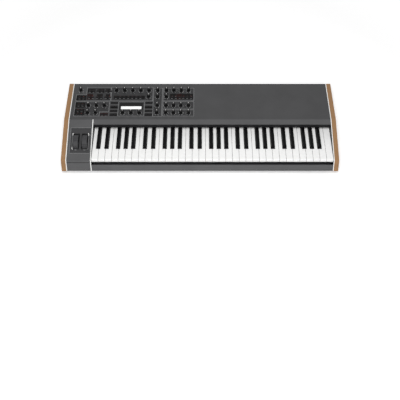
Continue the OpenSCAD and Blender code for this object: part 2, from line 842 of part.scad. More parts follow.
module wheel_plate() {
    color("#464649")
    difference() {
        union() {
            along_x(x_left + plate_left + fit, x_block - plate_right - fit) intersection() {
                sheet_profile(plate_in, sheet_t - plate_recess + plate_flange_t);
                window(y_plate + fit, y_plate_end - fit, z_deck_low, z_top);
            }
            along_x(x_left + plate_left - plate_flange, x_block - plate_right + plate_flange) intersection() {
                sheet_profile(sheet_in, plate_flange_t);
                window(y_plate - plate_flange, y_plate_end + plate_flange, z_deck_low, z_top);
            }
            for (x = wheel_xs)
                on_deck(x, y_slot, plate_in) translate([0, 0, -plate_flange_t])
                    rounded_box(
                        slot_w + 2 * slot_rim_w, slot_l + 2 * slot_rim_w,
                        slot_rim_r, plate_flange_t + slot_rim_h
                    );
        }
        for (x = wheel_xs)
            on_deck(x, y_slot, plate_in) cube([slot_w, slot_l, 4 * wheel_show], center = true);
    }
}

module cheek(x0) {
    along_x(x0, x0 + cheek_t) polygon(rounded(cheek_points, cheek_radii));
}

module left_cheek() {
    color("#9e7a5a")
    difference() {
        cheek(-case_w / 2);
        bolt_holes();
        for (y = bolt_ys)
            rod_x(-case_w / 2 - over, -case_w / 2 + bolt_head_h, y, z_bolt, bolt_head_r + fit);
    }
}

module right_cheek() {
    color("#9e7a5a")
    difference() {
        cheek(case_w / 2 - cheek_t);
        bolt_holes();
        for (y = bolt_ys)
            rod_x(case_w / 2 - bolt_head_h, case_w / 2 + over, y, z_bolt, bolt_head_r + fit);
    }
}

module trim_plates() {
    color("#d8d8d6")
    difference() {
        union() {
            for (x = [x_left - trim_t, x_right])
                along_x(x, x + trim_t) polygon(case_outline(trim_inset, trim_inset));
            along_x(x_block, x_bed) intersection() {
                polygon(case_outline(trim_inset, trim_inset));
                window(y_nose, y_bend, z_floor, z_top);
            }
        }
        for (x = [x_left - trim_t, x_right], y = bolt_ys)
            rod_x(x - over, x + trim_t + over, y, z_bolt, bolt_r + fit);
    }
}

module key_fascia() {
    color("#1b1b1d")
    along_x(x_bed, x_right) intersection() {
        polygon(case_outline(sheet_in, pan_t));
        window(y_strip, y_strip + fascia_t, z_sharp + fascia_gap, z_top);
    }
}

module rubber_feet() {
    color("#202020")
    for (x = [-1, 1] * (case_w / 2 - foot_end), y = [y_under + foot_edge, y_rear - foot_edge])
        translate([x, y, 0]) cylinder(h = foot_h, r1 = foot_r, r2 = foot_r + foot_flare);
}

module case_screws() {
    color("#3a3a3c") {
        for (y = bolt_ys) {
            x_end = x_left + pan_t + bolt_end;
            bolt(-case_w / 2, -case_w / 2 + bolt_head_h, x_end, y);
            bolt(case_w / 2 - bolt_head_h, case_w / 2, -x_end, y);
        }
        for (x = bed_screw_xs, y = bed_screw_ys) {
            translate([x, y, z_base - bed_head_h]) cylinder(h = bed_head_h, r = screw_head_r);
            translate([x, y, z_base - bed_head_h]) cylinder(h = bed_head_h + screw_l, r = screw_r);
        }
        for (x = rear_screw_xs) {
            rear_screw(x, y_back, z_rear_screws[0]);
            rear_screw(x, y_back + sheet_t, z_rear_screws[1]);
        }
    }
}

module bolt(head_x0, head_x1, end_x, y) {
    rod_x(head_x0, head_x1, y, z_bolt, bolt_head_r);
    rod_x(min(head_x0, end_x), max(head_x1, end_x), y, z_bolt, bolt_r);
}

module rear_screw(x, y, z) {
    rod_y(x, y, y + screw_head_h, z, screw_head_r);
    rod_y(x, y - screw_l, y + screw_head_h, z, screw_r);
}

// Key bed

module keybed_frame() {
    color("#8c8f92")
    difference() {
        union() {
            along_x(x_keys, x_frame_end) {
                window(y_frame, y_frame_end, z_floor, z_floor + frame_t);
                window(y_frame, y_frame + frame_t, z_floor, z_shelf);
                window(y_frame, y_felt_sharp + felt_d, z_shelf - frame_t, z_shelf);
                window(y_frame_end - frame_t, y_frame_end, z_floor, z_rest_shelf);
                window(y_tail - felt_d, y_frame_end, z_rest_shelf - frame_t, z_rest_shelf);
            }
            for (x = fin_xs())
                slab(
                    [x - fin_t / 2, y_pivot - fin_d, z_floor],
                    [x + fin_t / 2, y_pivot + fin_d, z_key - fin_drop]
                );
            for (x = bed_screw_xs, y = [y_contact - contact_d / 3, y_contact + contact_d / 3])
                translate([x, y, z_floor]) cylinder(h = z_contact - board_t - z_floor, r = post_r);
        }
        rod_x(x_keys - over, x_keys_end + over, y_pivot, z_pivot, rod_r);
        bed_screw_holes(z_floor - over, z_floor + frame_t + over);
    }
}

// Pivot fins stand in the wider gaps between two octaves and at both ends of the keyboard
function fin_xs() = concat(
    [x_keys + fin_side + fin_t / 2],
    [for (i = [1 : octaves]) x_keys + 7 * i * key_pitch],
    [x_keys_end - fin_side - fin_t / 2]
);

module key_pivot_rod() {
    color("#c2c4c6")
    rod_x(x_keys, x_keys_end, y_pivot, z_pivot, rod_r);
}

module return_springs() {
    color("#a8aaac") {
        for (x = key_xs)
            translate([x, y_spring, z_floor + frame_t])
                tube(z_key_low - rest_gap - z_floor - frame_t, spring_r, spring_r - spring_wall);
        translate([bracket_xs[0] + bracket_t / 2, y_wheel, z_wheel]) rotate([0, 90, 0])
            tube(
                (wheel_spacing - bracket_t - wheel_w) / 2 - over,
                axle_r + wheel_spring_gap + wheel_spring_t, axle_r + wheel_spring_gap
            );
    }
}

module tube(h, r, bore_r) {
    difference() {
        cylinder(h = h, r = r, $fn = 24);
        translate([0, 0, -over]) cylinder(h = h + 2 * over, r = bore_r, $fn = 24);
    }
}

module contact_board() {
    color("#2f5a3a")
    slab(
        [x_keys, y_contact - contact_d / 2, z_contact - board_t],
        [x_frame_end, y_contact + contact_d / 2, z_contact]
    );
}

module contact_strip() {
    color("#3b3b3b") {
        slab(
            [x_keys, y_contact - mat_d / 2, z_contact],
            [x_frame_end, y_contact + mat_d / 2, z_contact + mat_t]
        );
        for (x = key_xs)
            translate([x, y_contact, z_contact]) cylinder(h = dome_h, r1 = dome_r, r2 = dome_top_r, $fn = 24);
    }
}

module stop_felts() {
    color("#7a2f33") {
        felt_strip(y_frame, z_shelf, z_shelf + felt_t);
        felt_strip(y_felt_sharp, z_shelf, z_key_low - drop(y_felt_sharp) - press_gap);
        felt_strip(y_tail - felt_d, z_rest_shelf, z_rest_shelf + felt_t);
    }
}

module felt_strip(y, z0, z1) {
    slab([x_keys, y, z0], [x_frame_end, y + felt_d, z1]);
}

// Keys

module natural_plan(n, wall) {
    translate([natural_x(n), y_key]) {
        translate([key_gap / 2 + wall, wall])
            square([key_pitch - key_gap - 2 * wall, head_l - 2 * wall]);
        translate([tail_left(n) + wall, wall])
            square([tail_right(n) - tail_left(n) - 2 * wall, y_arm - y_key - 2 * wall]);
    }
}

// The hidden rear part of a key, bored for the pivot rod
module key_arm(x0, x1) {
    slab([x0 + arm_relief, y_arm - arm_lap, z_key_low], [x1 - arm_relief, y_tail, z_key]);
}

module key_bore(x) {
    rod_x(x - key_pitch, x + key_pitch, y_pivot, z_pivot, rod_r + run_fit);
}

module plunger(x, z_under_skin) {
    slab(
        [x - plunger_w / 2, y_contact - plunger_w / 2, z_plunger],
        [x + plunger_w / 2, y_contact + plunger_w / 2, z_under_skin + key_skin / 2]
    );
}

module front_edge_cut(x) {
    y = y_key + key_edge_r;
    z = z_key - key_edge_r;
    difference() {
        slab([x - over, y_key - over, z], [x + key_pitch + over, y, z_key + over]);
        rod_x(x - 2 * over, x + key_pitch + 2 * over, y, z, key_edge_r);
    }
}

module natural_key(n) {
    x = natural_x(n);
    color("#f2f1ec") {
        difference() {
            union() {
                translate([0, 0, z_key_low]) linear_extrude(natural_t) natural_plan(n, 0);
                key_arm(x + tail_left(n), x + tail_right(n));
            }
            translate([0, 0, z_key_low - over]) linear_extrude(natural_t - key_skin + over)
                natural_plan(n, key_wall);
            key_bore(x);
            front_edge_cut(x);
        }
        plunger(arm_x(n), z_key - key_skin);
    }
}

module sharp_key(n) {
    x = sharp_x(n);
    edge = 1;
    color("#1c1c1e") {
        difference() {
            union() {
                intersection() {
                    translate([x, y_blade, 0]) rotate([90, 0, 0]) linear_extrude(y_blade - y_sharp)
                        polygon([
                            [-sharp_w / 2, z_key_low], [sharp_w / 2, z_key_low], [sharp_w / 2, z_key],
                            [sharp_top_w / 2, z_sharp - edge], [sharp_top_w / 2 - edge, z_sharp],
                            [edge - sharp_top_w / 2, z_sharp], [-sharp_top_w / 2, z_sharp - edge],
                            [-sharp_w / 2, z_key]
                        ]);
                    along_x(x - sharp_w, x + sharp_w)
                        polygon([
                            [y_sharp, z_key_low], [y_blade, z_key_low], [y_blade, z_sharp],
                            [y_sharp + sharp_rake + 2 * edge, z_sharp],
                            [y_sharp + sharp_rake, z_sharp - edge], [y_sharp, z_key + edge]
                        ]);
                }
                slab([x - sharp_w / 2, y_blade - over, z_key_low], [x + sharp_w / 2, y_arm, z_key]);
                key_arm(x - sharp_w / 2, x + sharp_w / 2);
            }
            slab(
                [x - sharp_top_w / 2 + key_wall, y_sharp + sharp_rake + key_wall, z_key_low - over],
                [x + sharp_top_w / 2 - key_wall, y_blade - key_wall, z_sharp - key_skin]
            );
            key_bore(x);
        }
        plunger(x, z_sharp - key_skin);
    }
}

module key_c() { natural_key(solo_first); }
module key_c_sharp() { sharp_key(solo_first); }
module key_d() { natural_key(solo_first + 1); }
module key_d_sharp() { sharp_key(solo_first + 1); }
module key_e() { natural_key(solo_first + 2); }
module key_f() { natural_key(solo_first + 3); }
module key_f_sharp() { sharp_key(solo_first + 3); }
module key_g() { natural_key(solo_first + 4); }
module key_g_sharp() { sharp_key(solo_first + 4); }
module key_a() { natural_key(solo_first + 5); }
module key_a_sharp() { sharp_key(solo_first + 5); }
module key_b() { natural_key(solo_first + 6); }

module lower_naturals() {
    for (n = [0 : solo_first - 1]) natural_key(n);
}

module upper_naturals() {
    for (n = [solo_end : naturals - 1]) natural_key(n);
}

module lower_sharps() {
    for (n = sharp_list) if (n < solo_first) sharp_key(n);
}

module upper_sharps() {
    for (n = sharp_list) if (n >= solo_end) sharp_key(n);
}

// Wheels

module wheel_bracket() {
    color("#8c8f92")
    difference() {
        union() {
            for (x = bracket_xs)
                slab(
                    [x - bracket_t / 2, y_wheel - bracket_d, z_floor],
                    [x + bracket_t / 2, y_wheel + bracket_d, z_wheel + hub_r + bracket_rise]
                );
            slab(
                [bracket_xs[0], y_wheel - bracket_d - bracket_foot, z_floor],
                [bracket_xs[2], y_wheel + bracket_d + bracket_foot, z_floor + bracket_t]
            );
            rod_x(bracket_xs[0] - wheel_pot_t, bracket_xs[0], y_wheel, z_wheel, wheel_pot_r);
            rod_x(bracket_xs[2], bracket_xs[2] + wheel_pot_t, y_wheel, z_wheel, wheel_pot_r);
        }
        for (x = wheel_xs)
            rod_x(x - axle_half - fit, x + axle_half + fit, y_wheel, z_wheel, axle_r + run_fit);
    }
}

// A wheel with hub, web, rounded rim and axle ends, with a thumb notch at an angle from upright
module performance_wheel(x, notch_a) {
    color("#242426")
    translate([x, y_wheel, z_wheel]) rotate([slope_a, 0, 0]) rotate([0, 90, 0])
        difference() {
            rotate_extrude() {
                translate([0, -axle_half]) square([axle_r, 2 * axle_half]);
                translate([0, -wheel_w / 2]) square([hub_r, wheel_w]);
                translate([0, -wheel_web / 2]) square([wheel_r - wheel_edge_r, wheel_web]);
                translate([wheel_r - wheel_rim, -wheel_w / 2]) square([wheel_rim - wheel_edge_r, wheel_w]);
                translate([wheel_r - wheel_rim, wheel_edge_r - wheel_w / 2])
                    square([wheel_rim, wheel_w - 2 * wheel_edge_r]);
                for (s = [-1, 1])
                    translate([wheel_r - wheel_edge_r, s * (wheel_w / 2 - wheel_edge_r)])
                        circle(wheel_edge_r);
            }
            rotate([0, 0, notch_a]) translate([-wheel_r - notch_r / 2, 0, -wheel_w])
                cylinder(h = 2 * wheel_w, r = notch_r);
        }
}

module pitch_wheel() { performance_wheel(wheel_xs[0], 0); }
module mod_wheel() { performance_wheel(wheel_xs[1], mod_notch_a); }

// Controls

// A knob pressed on its shaft, with a pointer groove towards the rear
module knob(place) {
    r = knob_d / 2;
    top_r = r - knob_taper;
    shaft_end = knob_lift + shaft_l;
    shaft_start = -sheet_t - pot_h / 2;
    color("#1e1e20")
    at_panel(place) {
        translate([0, 0, knob_lift])
            difference() {
                rotate_extrude() polygon([
                    [0, 0], [r, 0], [r, knob_skirt_h], [r - knob_skirt, knob_skirt_h + knob_skirt],
                    [top_r, knob_h - knob_edge], [top_r - knob_edge, knob_h], [0, knob_h]
                ]);
                translate([0, 0, -over]) cylinder(h = shaft_l + over, r = shaft_r);
                translate([-groove_w / 2, groove_start, knob_h - groove_d])
                    cube([groove_w, r, groove_d + over]);
            }
        translate([0, 0, shaft_start]) cylinder(h = shaft_end - shaft_start, r = shaft_r);
    }
}

module volume_knob() { knob(volume_place); }
module value_knob_1() { knob(value_places[0]); }
module value_knob_2() { knob(value_places[1]); }
module value_knob_3() { knob(value_places[2]); }
module filter_knob_1() { knob(filter_places[0]); }
module filter_knob_2() { knob(filter_places[1]); }
module filter_knob_3() { knob(filter_places[2]); }
module filter_knob_4() { knob(filter_places[3]); }

module panel_knobs() {
    for (p = fixed_places) knob(p);
}

module knob_pots() {
    color("#5d6f86")
    for (p = knob_places)
        at_panel(p) translate([0, 0, -sheet_t])
            difference() {
                union() {
                    translate([-pot_w / 2, -pot_w / 2, -pot_h]) cube([pot_w, pot_w, pot_h]);
                    cylinder(h = sheet_t, r = bush_r);
                }
                translate([0, 0, -pot_h / 2 - fit])
                    cylinder(h = pot_h / 2 + sheet_t + fit + over, r = shaft_r + run_fit);
            }
}

// A button cap that slides in its hole, with a hidden rim and a stem over its switch
module button(place) {
    rim_z = z_sheet - slide_gap - button_rim_t;
    color("#2a2a2c")
    at_panel(place) translate([0, 0, -z_panel]) {
        translate([0, 0, rim_z]) rounded_box(button_w, button_d, button_r, z_panel + button_h - rim_z);
        translate([0, 0, rim_z])
            rounded_box(button_w + 2 * button_rim, button_d + 2 * button_rim, button_r, button_rim_t);
        translate([-stem_w / 2, -stem_w / 2, z_stem]) cube([stem_w, stem_w, rim_z - z_stem + over]);
    }
}

module left_buttons() {
    for (p = left_button_places) button(p);
}

module display_buttons() {
    for (p = display_button_places) button(p);
}

module sound_buttons() {
    for (p = sound_button_places) button(p);
}

// Boards, display and supply

module panel_board() {
    color("#2f5a3a") {
        slab(
            [x_left + board_edge, y_bend + board_front, z_board - board_t],
            [x_left + board_x_end, y_bend + board_y_end, z_board]
        );
        for (p = button_places)
            at_panel(p) translate([-switch_w / 2, -switch_w / 2, z_board - z_panel - board_t / 2])
                cube([switch_w, switch_w, switch_h + board_t / 2]);
    }
}

module display_module() {
    w = display_w + 2 * display_frame;
    d = display_d + 2 * display_frame;
    color("#d9dde0")
    at_panel([display_x, display_y]) translate([-w / 2, -d / 2, -sheet_t - pot_h]) cube([w, d, pot_h]);
}

module display_window() {
    color("#f4f6f6")
    at_panel([display_x, display_y]) translate([0, 0, -sheet_t])
        rounded_box(display_w, display_d, display_corner_r, sheet_t);
}

module main_board() {
    z = z_floor + standoff_h;
    color("#2f5a3a") {
        slab([main_board_x, y_inner, z], [x_main_board_end, y_inner_end, z + board_t]);
        for (i = [0 : chip_count - 1])
            translate([main_board_x + chip_edge[0] + chip_pitch * i, y_inner + chip_edge[1], z + board_t / 2])
                cube(chip);
    }
}

module power_supply() {
    color("#9a9c9e")
    difference() {
        slab([x_supply, y_inner, z_floor], [x_supply + supply_w, y_inner_end, z_floor + supply_h]);
        for (i = [0 : supply_slot_count - 1])
            translate([
                x_supply + supply_slot_edge + supply_slot_pitch * i,
                (y_inner + y_inner_end) / 2, z_floor + supply_h - supply_slot_depth
            ])
                rounded_box(vent_w, supply_slot_l, vent_r, supply_slot_depth + over);
    }
}

// Rear sockets

function jack_place(i) = x_left + jack_x + i * jack_pitch;

module jack_sockets() {
    color("#1d1d1f")
    for (i = [0 : jack_count - 1]) {
        x = jack_place(i);
        y_mouth = y_back + jack_nose;
        difference() {
            union() {
                slab(
                    [x - jack_w / 2, y_mouth - jack_l - jack_wall, z_socket - jack_w / 2],
                    [x + jack_w / 2, y_back_in, z_socket + jack_w / 2]
                );
                rod_y(x, y_back_in - over, y_mouth, z_socket, jack_bush_r);
            }
            rod_y(x, y_mouth - jack_l, y_mouth + over, z_socket, jack_r);
        }
        difference() {
            rod_y(x, y_back, y_back + jack_nut_t, z_socket, jack_bush_r + jack_nut_w, 6);
            rod_y(x, y_back - over, y_back + jack_nut_t + over, z_socket, jack_bush_r);
        }
    }
}

module midi_sockets() {
    color("#1d1d1f")
    for (x = midi_xs) {
        y_face = y_back + data_nose;
        difference() {
            union() {
                slab(
                    [x - midi_r - midi_wall, y_back_in - midi_l, z_socket - midi_r - midi_wall],
                    [x + midi_r + midi_wall, y_back_in, z_socket + midi_r + midi_wall]
                );
                rod_y(x, y_back_in - over, y_face, z_socket, midi_r);
            }
            rod_y(x, y_face - midi_bore_l, y_face + over, z_socket, midi_bore_r);
        }
    }
}

module usb_socket() {
    x = x_left + usb_x;
    y_face = y_back + data_nose;
    color("#b9bbbd")
    difference() {
        slab(
            [x - usb_w / 2, y_face - usb_l, z_socket - usb_h / 2],
            [x + usb_w / 2, y_face, z_socket + usb_h / 2]
        );
        difference() {
            slab(
                [x - usb_w / 2 + usb_wall, y_face - usb_l + usb_back, z_socket - usb_h / 2 + usb_wall],
                [x + usb_w / 2 - usb_wall, y_face + over, z_socket + usb_h / 2 - usb_wall]
            );
            slab(
                [x - usb_tongue_w / 2, y_face - usb_l, z_socket - usb_tongue_h / 2],
                [x + usb_tongue_w / 2, y_face - usb_tongue_in, z_socket + usb_tongue_h / 2]
            );
        }
    }
}

module mains_inlet() {
    y_face = y_back + mains_flange[2];
    color("#1d1d1f")
    translate([x_mains, 0, z_socket])
        difference() {
            union() {
                block_at(mains_flange, 0, y_face);
                block_at(mains_body, 0, y_back + over / 2);
            }
            difference() {
                block_at(mains_cavity, x_mains_cavity, y_face + over);
                for (p = mains_pin_places)
                    translate([x_mains_cavity + p[0], y_face - mains_cavity[2], p[1]])
                        cube([mains_pin[0], 2 * mains_pin[2], mains_pin[1]], center = true);
            }
            translate([x_rocker - x_mains, 0, 0]) {
                block_at(
                    [rocker_w + 2 * slide_gap, 2 * (rocker_half + rocker_play), pocket_d],
                    0, y_face + over
                );
                rod_x(
                    -rocker_w / 2 - rocker_pin_l - fit, rocker_w / 2 + rocker_pin_l + fit,
                    y_rocker, 0, rocker_pin_r + run_fit
                );
            }
        }
}

// A block of width, height and depth whose rear face is at y
module block_at(size, x, y) {
    translate([x - size[0] / 2, y - size[2], -size[1] / 2]) cube([size[0], size[2], size[1]]);
}

module power_rocker() {
    color("#141416")
    translate([x_rocker, y_rocker, z_socket]) rotate([-rocker_tilt, 0, 0]) {
        along_x(-rocker_w / 2, rocker_w / 2) polygon(rocker_points);
        rod_x(-rocker_w / 2 - rocker_pin_l, rocker_w / 2 + rocker_pin_l, 0, 0, rocker_pin_r);
    }
}

bottom_pan();
control_panel();
rear_panel();
front_rail();
wheel_block();
wheel_plate();
left_cheek();
right_cheek();
trim_plates();
key_fascia();
rubber_feet();
case_screws();
keybed_frame();
key_pivot_rod();
return_springs();
contact_board();
contact_strip();
stop_felts();
main_board();
panel_board();
knob_pots();
power_supply();
display_module();
display_window();
jack_sockets();
midi_sockets();
usb_socket();
mains_inlet();
wheel_bracket();
pitch_wheel();
mod_wheel();
power_rocker();
key_c();
key_c_sharp();
key_d();
key_d_sharp();
key_e();
key_f();
key_f_sharp();
key_g();
key_g_sharp();
key_a();
key_a_sharp();
key_b();
lower_naturals();
lower_sharps();
upper_naturals();
upper_sharps();
left_buttons();
display_buttons();
sound_buttons();
panel_knobs();
volume_knob();
value_knob_1();
value_knob_2();
value_knob_3();
filter_knob_1();
filter_knob_2();
filter_knob_3();
filter_knob_4();
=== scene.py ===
import json
import math

import bmesh
import bpy
from mathutils import Matrix, Vector


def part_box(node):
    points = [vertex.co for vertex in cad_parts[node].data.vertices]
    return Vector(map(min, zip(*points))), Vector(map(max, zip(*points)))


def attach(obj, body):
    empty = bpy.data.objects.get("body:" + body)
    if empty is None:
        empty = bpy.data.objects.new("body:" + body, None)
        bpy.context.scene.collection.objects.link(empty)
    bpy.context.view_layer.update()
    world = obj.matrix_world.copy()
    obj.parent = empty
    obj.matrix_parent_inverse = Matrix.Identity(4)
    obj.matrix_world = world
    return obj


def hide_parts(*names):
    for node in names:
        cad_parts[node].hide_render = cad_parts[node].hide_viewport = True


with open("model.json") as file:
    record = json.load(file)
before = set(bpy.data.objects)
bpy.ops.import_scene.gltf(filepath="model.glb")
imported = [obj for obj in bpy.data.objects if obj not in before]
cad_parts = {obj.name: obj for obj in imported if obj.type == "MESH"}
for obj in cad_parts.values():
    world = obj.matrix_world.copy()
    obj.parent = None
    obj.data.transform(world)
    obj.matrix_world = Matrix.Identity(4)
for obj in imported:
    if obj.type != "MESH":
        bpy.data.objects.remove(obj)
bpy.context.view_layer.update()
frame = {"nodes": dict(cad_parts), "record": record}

bl_info = {
    "name": "Keyboard synthesizer looks",
    "version": (1, 0, 0),
    "blender": (4, 5, 0),
    "location": "View3D > Sidebar > Synthesizer",
    "description": "Finishes and small pieces of a keyboard synthesizer with wooden cheeks",
    "category": "Object",
}

MM = 0.001
KNOB_NODES = [
    "volume_knob", "value_knob_1", "value_knob_2", "value_knob_3",
    "filter_knob_1", "filter_knob_2", "filter_knob_3", "filter_knob_4",
]
BUTTON_NODES = ["left_buttons", "display_buttons", "sound_buttons"]
LAMP_BUTTONS = ["left_buttons", "sound_buttons"]
UP, DOWN, BACK = (0, 0, 1), (0, 0, -1), (0, 1, 0)

# Corners closer than this, in metres, are one corner
MERGE = 1e-6

# Places that the frame gives
PANEL_LOW, PANEL_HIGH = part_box("control_panel")
BLOCK_LOW, BLOCK_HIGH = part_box("wheel_block")
WINDOW_LOW, WINDOW_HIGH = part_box("display_window")
KNOB_LOW, KNOB_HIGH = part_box(KNOB_NODES[0])
PANEL_LEFT, PANEL_TOP = PANEL_LOW.x, PANEL_HIGH.z
BEND = BLOCK_HIGH.y
KNOB_RADIUS = (KNOB_HIGH.x - KNOB_LOW.x) / 2
KNOB_TOP = KNOB_HIGH.z - PANEL_TOP


def srgb(red, green, blue):
    """A screen colour from 0 to 255 as the linear colour that shaders take."""
    def linear(level):
        share = level / 255
        return share / 12.92 if share <= 0.04045 else ((share + 0.055) / 1.055) ** 2.4
    return (linear(red), linear(green), linear(blue))


def length(name, description, millimetres):
    return bpy.props.FloatProperty(
        name=name, description=description, default=millimetres * MM, unit="LENGTH", precision=5
    )


def colour(name, description, default):
    return bpy.props.FloatVectorProperty(
        name=name, description=description, default=default, subtype="COLOR", size=3, min=0, max=1
    )


class SynthSizes(bpy.types.PropertyGroup):
    """Sizes of the pieces that are added to the solids."""
    line_width: length("Line width", "Width of the printed section lines", 0.8)
    ground_height: length("Ground height", "Thickness of the printed ground of a section", 0.03)
    print_height: length("Print height", "Thickness of the other printed pieces", 0.08)
    tick_length: length("Tick length", "Length of a mark on a knob's scale", 1.8)
    tick_width: length("Tick width", "Width of a mark on a knob's scale", 0.6)
    tick_gap: length("Tick gap", "Space between a knob and its scale", 1.2)
    tick_count: bpy.props.IntProperty(name="Ticks", description="Marks on a knob's scale", default=11, min=2)
    scale_turn: bpy.props.FloatProperty(
        name="Scale turn", description="Angle that a knob's scale covers",
        default=math.radians(300), subtype="ANGLE",
    )
    flutes: bpy.props.IntProperty(name="Flutes", description="Grooves around a knob", default=20, min=6)
    flute_depth: length("Flute depth", "Depth of the grooves around a knob", 0.4)
    skirt_height: length("Skirt height", "Height of the plain foot of a knob", 1.8)
    pointer_width: length("Pointer width", "Width of the white line on a knob", 2)
    knob_lift: length("Knob lift", "Space between the panel and a knob", 0.8)
    knob_top_inset: length("Knob top inset", "How much a knob narrows towards its top", 0.8)
    bar_width: length("Bar width", "Width of the plain bar printed in front of a button", 7)
    bar_depth: length("Bar depth", "Depth of the plain bar printed in front of a button", 0.9)
    bar_gap: length("Bar gap", "Space between a button's rim and its bar", 1.2)
    lamp_width: length("Lamp width", "Width of a lamp behind a button", 2.6)
    lamp_depth: length("Lamp depth", "Depth of a lamp behind a button", 1.4)
    lamp_height: length("Lamp height", "Height of a lamp above the panel", 0.7)
    lamp_gap: length("Lamp gap", "Distance from a button's back to the middle of its lamp", 2.2)
    lit_width: length("Lit width", "Width of the lit display", 74)
    lit_depth: length("Lit depth", "Depth of the lit display", 13.8)
    lit_shift: length("Lit shift", "How far the lit display sits in front of its bezel's middle", 6.8)
    bezel_rise: length("Bezel rise", "Height of the display's bezel above the panel", 0.3)
    bezel_depth: length("Bezel depth", "Depth of the well in the bezel that holds the lit display", 0.72)
    frame_width: length("Frame width", "Width of the pale line around the wheel plate", 0.7)
    frame_height: length("Frame height", "Height of the pale line around the wheel plate", 0.25)
    frame_corner: length("Frame corner", "Corner radius of the line around the wheel plate", 2.5)
    # The edges beside the wheels and their bright ends are painted highlights along the rims of the wheels'
    # slots
    edge_width: length("Edge width", "Width of the edges beside the wheels", 0.8)
    glint_width: length("End width", "Width of the bright ends of the edges beside the wheels", 1.9)
    end_length: length("End length", "Length of the bright ends of the edges beside the wheels", 9)
    slot_width: length("Slot width", "Width of a wheel's slot with its edge", 26.2)
    slot_length: length("Slot length", "Length of a wheel's slot with its edge", 63.2)
    slot_corner: length("Slot corner", "Corner radius of a wheel's slot with its edge", 2)
    edge_return: length("Edge return", "How far an edge turns round its slot's corners", 3.5)
    seam_drop: length("Seam drop", "Distance of the seam on the block's nose below its upper edge", 8.7)
    seam_width: length("Seam width", "Width of the seam on the block's nose", 1.6)
    digit_size: length("Digit size", "Height of the numbers on a knob's scale", 2.2)
    core_gap: length("Core gap", "Ring gap around the core of a round data socket", 1.2)
    pin_radius: length("Pin radius", "Radius of the contacts in a round data socket", 0.75)
    pin_circle: length("Pin circle", "Radius of the arc of contacts in a round data socket", 3.4)


class SynthColours(bpy.types.PropertyGroup):
    """Colours of the finishes."""
    # The panel's flat top is given a darker tone than the deck and the slopes: painted shade, because the
    # sloping faces catch more of the front light
    panel: colour("Panel", "Paint of the control panel's flat top", srgb(75, 75, 76))
    deck: colour("Deck", "Paint of the wheel block, the front rail and the panel's slopes", srgb(88, 88, 89))
    plate: colour("Wheel plate", "Plastic around the wheels", srgb(63, 63, 64))
    knob: colour("Knobs", "Plastic of the knobs", srgb(15, 15, 16))
    wood: colour("Wood", "Cheeks", srgb(152, 117, 83))
    trim: colour("Trim", "Edges of the pale plates beside the cheeks", srgb(246, 246, 244))
    natural: colour("Naturals", "White keys", srgb(248, 248, 247))
    # The sides of the white keys are painted darker than their tops: painted shade for the dim gaps between
    # the keys
    natural_side_shade: colour("Natural sides", "Shaded sides of the white keys", srgb(150, 150, 148))
    sharp: colour("Sharps", "Black keys", srgb(7, 7, 8))
    # This grey also paints the thin lines along the slot edges by the wheels, which are painted highlights
    ink: colour("Ink", "Printed lines, bars and edges", srgb(150, 151, 152))
    mark: colour("Marks", "Printed scales and numbers", srgb(240, 241, 241))
    section: colour("Sections", "Printed ground of the panel's sections", srgb(57, 57, 58))
    # The broad faces of the pale plates are near-black: partly a dark inner wall beside the keys, partly
    # painted shade in the key well
    trim_side_dark_and_shade: colour("Trim sides", "Broad faces of the pale plates", srgb(20, 20, 21))
    field: colour("Fields", "Dark printed fields under the buttons", srgb(18, 17, 17))
    warm_field: colour("Warm fields", "Reddish printed fields under some buttons", srgb(32, 16, 15))
    # This white paints the knobs' pointer lines, which are print, and the glints at the ends of the slot
    # edges, which are painted highlights
    pointer: colour("Pointer", "Line on each knob, and the bright ends by the wheels", srgb(240, 240, 238))
    lamp: colour("Lamp", "Lens of the lamps that are off", srgb(74, 32, 28))
    lit_lamp: colour("Lit lamp", "Lens of the lamps that are on", srgb(132, 52, 44))
    lit: colour("Lit display", "Light of the display", srgb(250, 251, 250))
    floor: colour("Floor", "Floor under the object", srgb(246, 246, 246))


def sizes():
    return bpy.context.scene.synth_sizes


def colours():
    return bpy.context.scene.synth_colours


# Modelling helpers

def deselect():
    active = bpy.context.view_layer.objects.active
    if active and active.mode != "OBJECT":
        bpy.ops.object.mode_set(mode="OBJECT")
    bpy.ops.object.select_all(action="DESELECT")


def pick(piece):
    """Selects one piece alone and makes it the active one."""
    deselect()
    piece.select_set(True)
    bpy.context.view_layer.objects.active = piece


def named(piece, name):
    piece.name = name
    piece.data.name = name
    return piece


def started(name):
    """The primitive that was just added, named, with its place moved into its mesh."""
    piece = named(bpy.context.view_layer.objects.active, name)
    bpy.ops.object.transform_apply(location=True, rotation=True, scale=True)
    return piece


def add_box(name, low, high):
    deselect()
    low, high = Vector(low), Vector(high)
    bpy.ops.mesh.primitive_cube_add(size=1, location=(low + high) / 2, scale=high - low)
    return started(name)


def add_disc(name, middle, radius, height, sides):
    """A disc that stands with the middle of its lower face at the given place."""
    deselect()
    place = Vector(middle) + Vector((0, 0, height / 2))
    bpy.ops.mesh.primitive_cylinder_add(vertices=sides, radius=radius, depth=height, location=place)
    return started(name)


def open_for_edit(piece):
    pick(piece)
    bpy.ops.object.mode_set(mode="EDIT")
    bpy.ops.mesh.select_mode(type="FACE")


def select_all():
    bpy.ops.mesh.select_all(action="SELECT")


def close_edit():
    bpy.ops.object.mode_set(mode="OBJECT")


def pick_faces(piece, test):
    """Opens a piece and selects the faces that pass a test."""
    open_for_edit(piece)
    bpy.ops.mesh.select_all(action="DESELECT")
    mesh = bmesh.from_edit_mesh(piece.data)
    for face in mesh.faces:
        face.select_set(bool(test(face)))
    mesh.select_flush_mode()
    bmesh.update_edit_mesh(piece.data)


def facing(axis, least=0.9):
    """A test for faces that look along an axis."""
    direction = Vector(axis)
    return lambda face: face.normal.dot(direction) > least


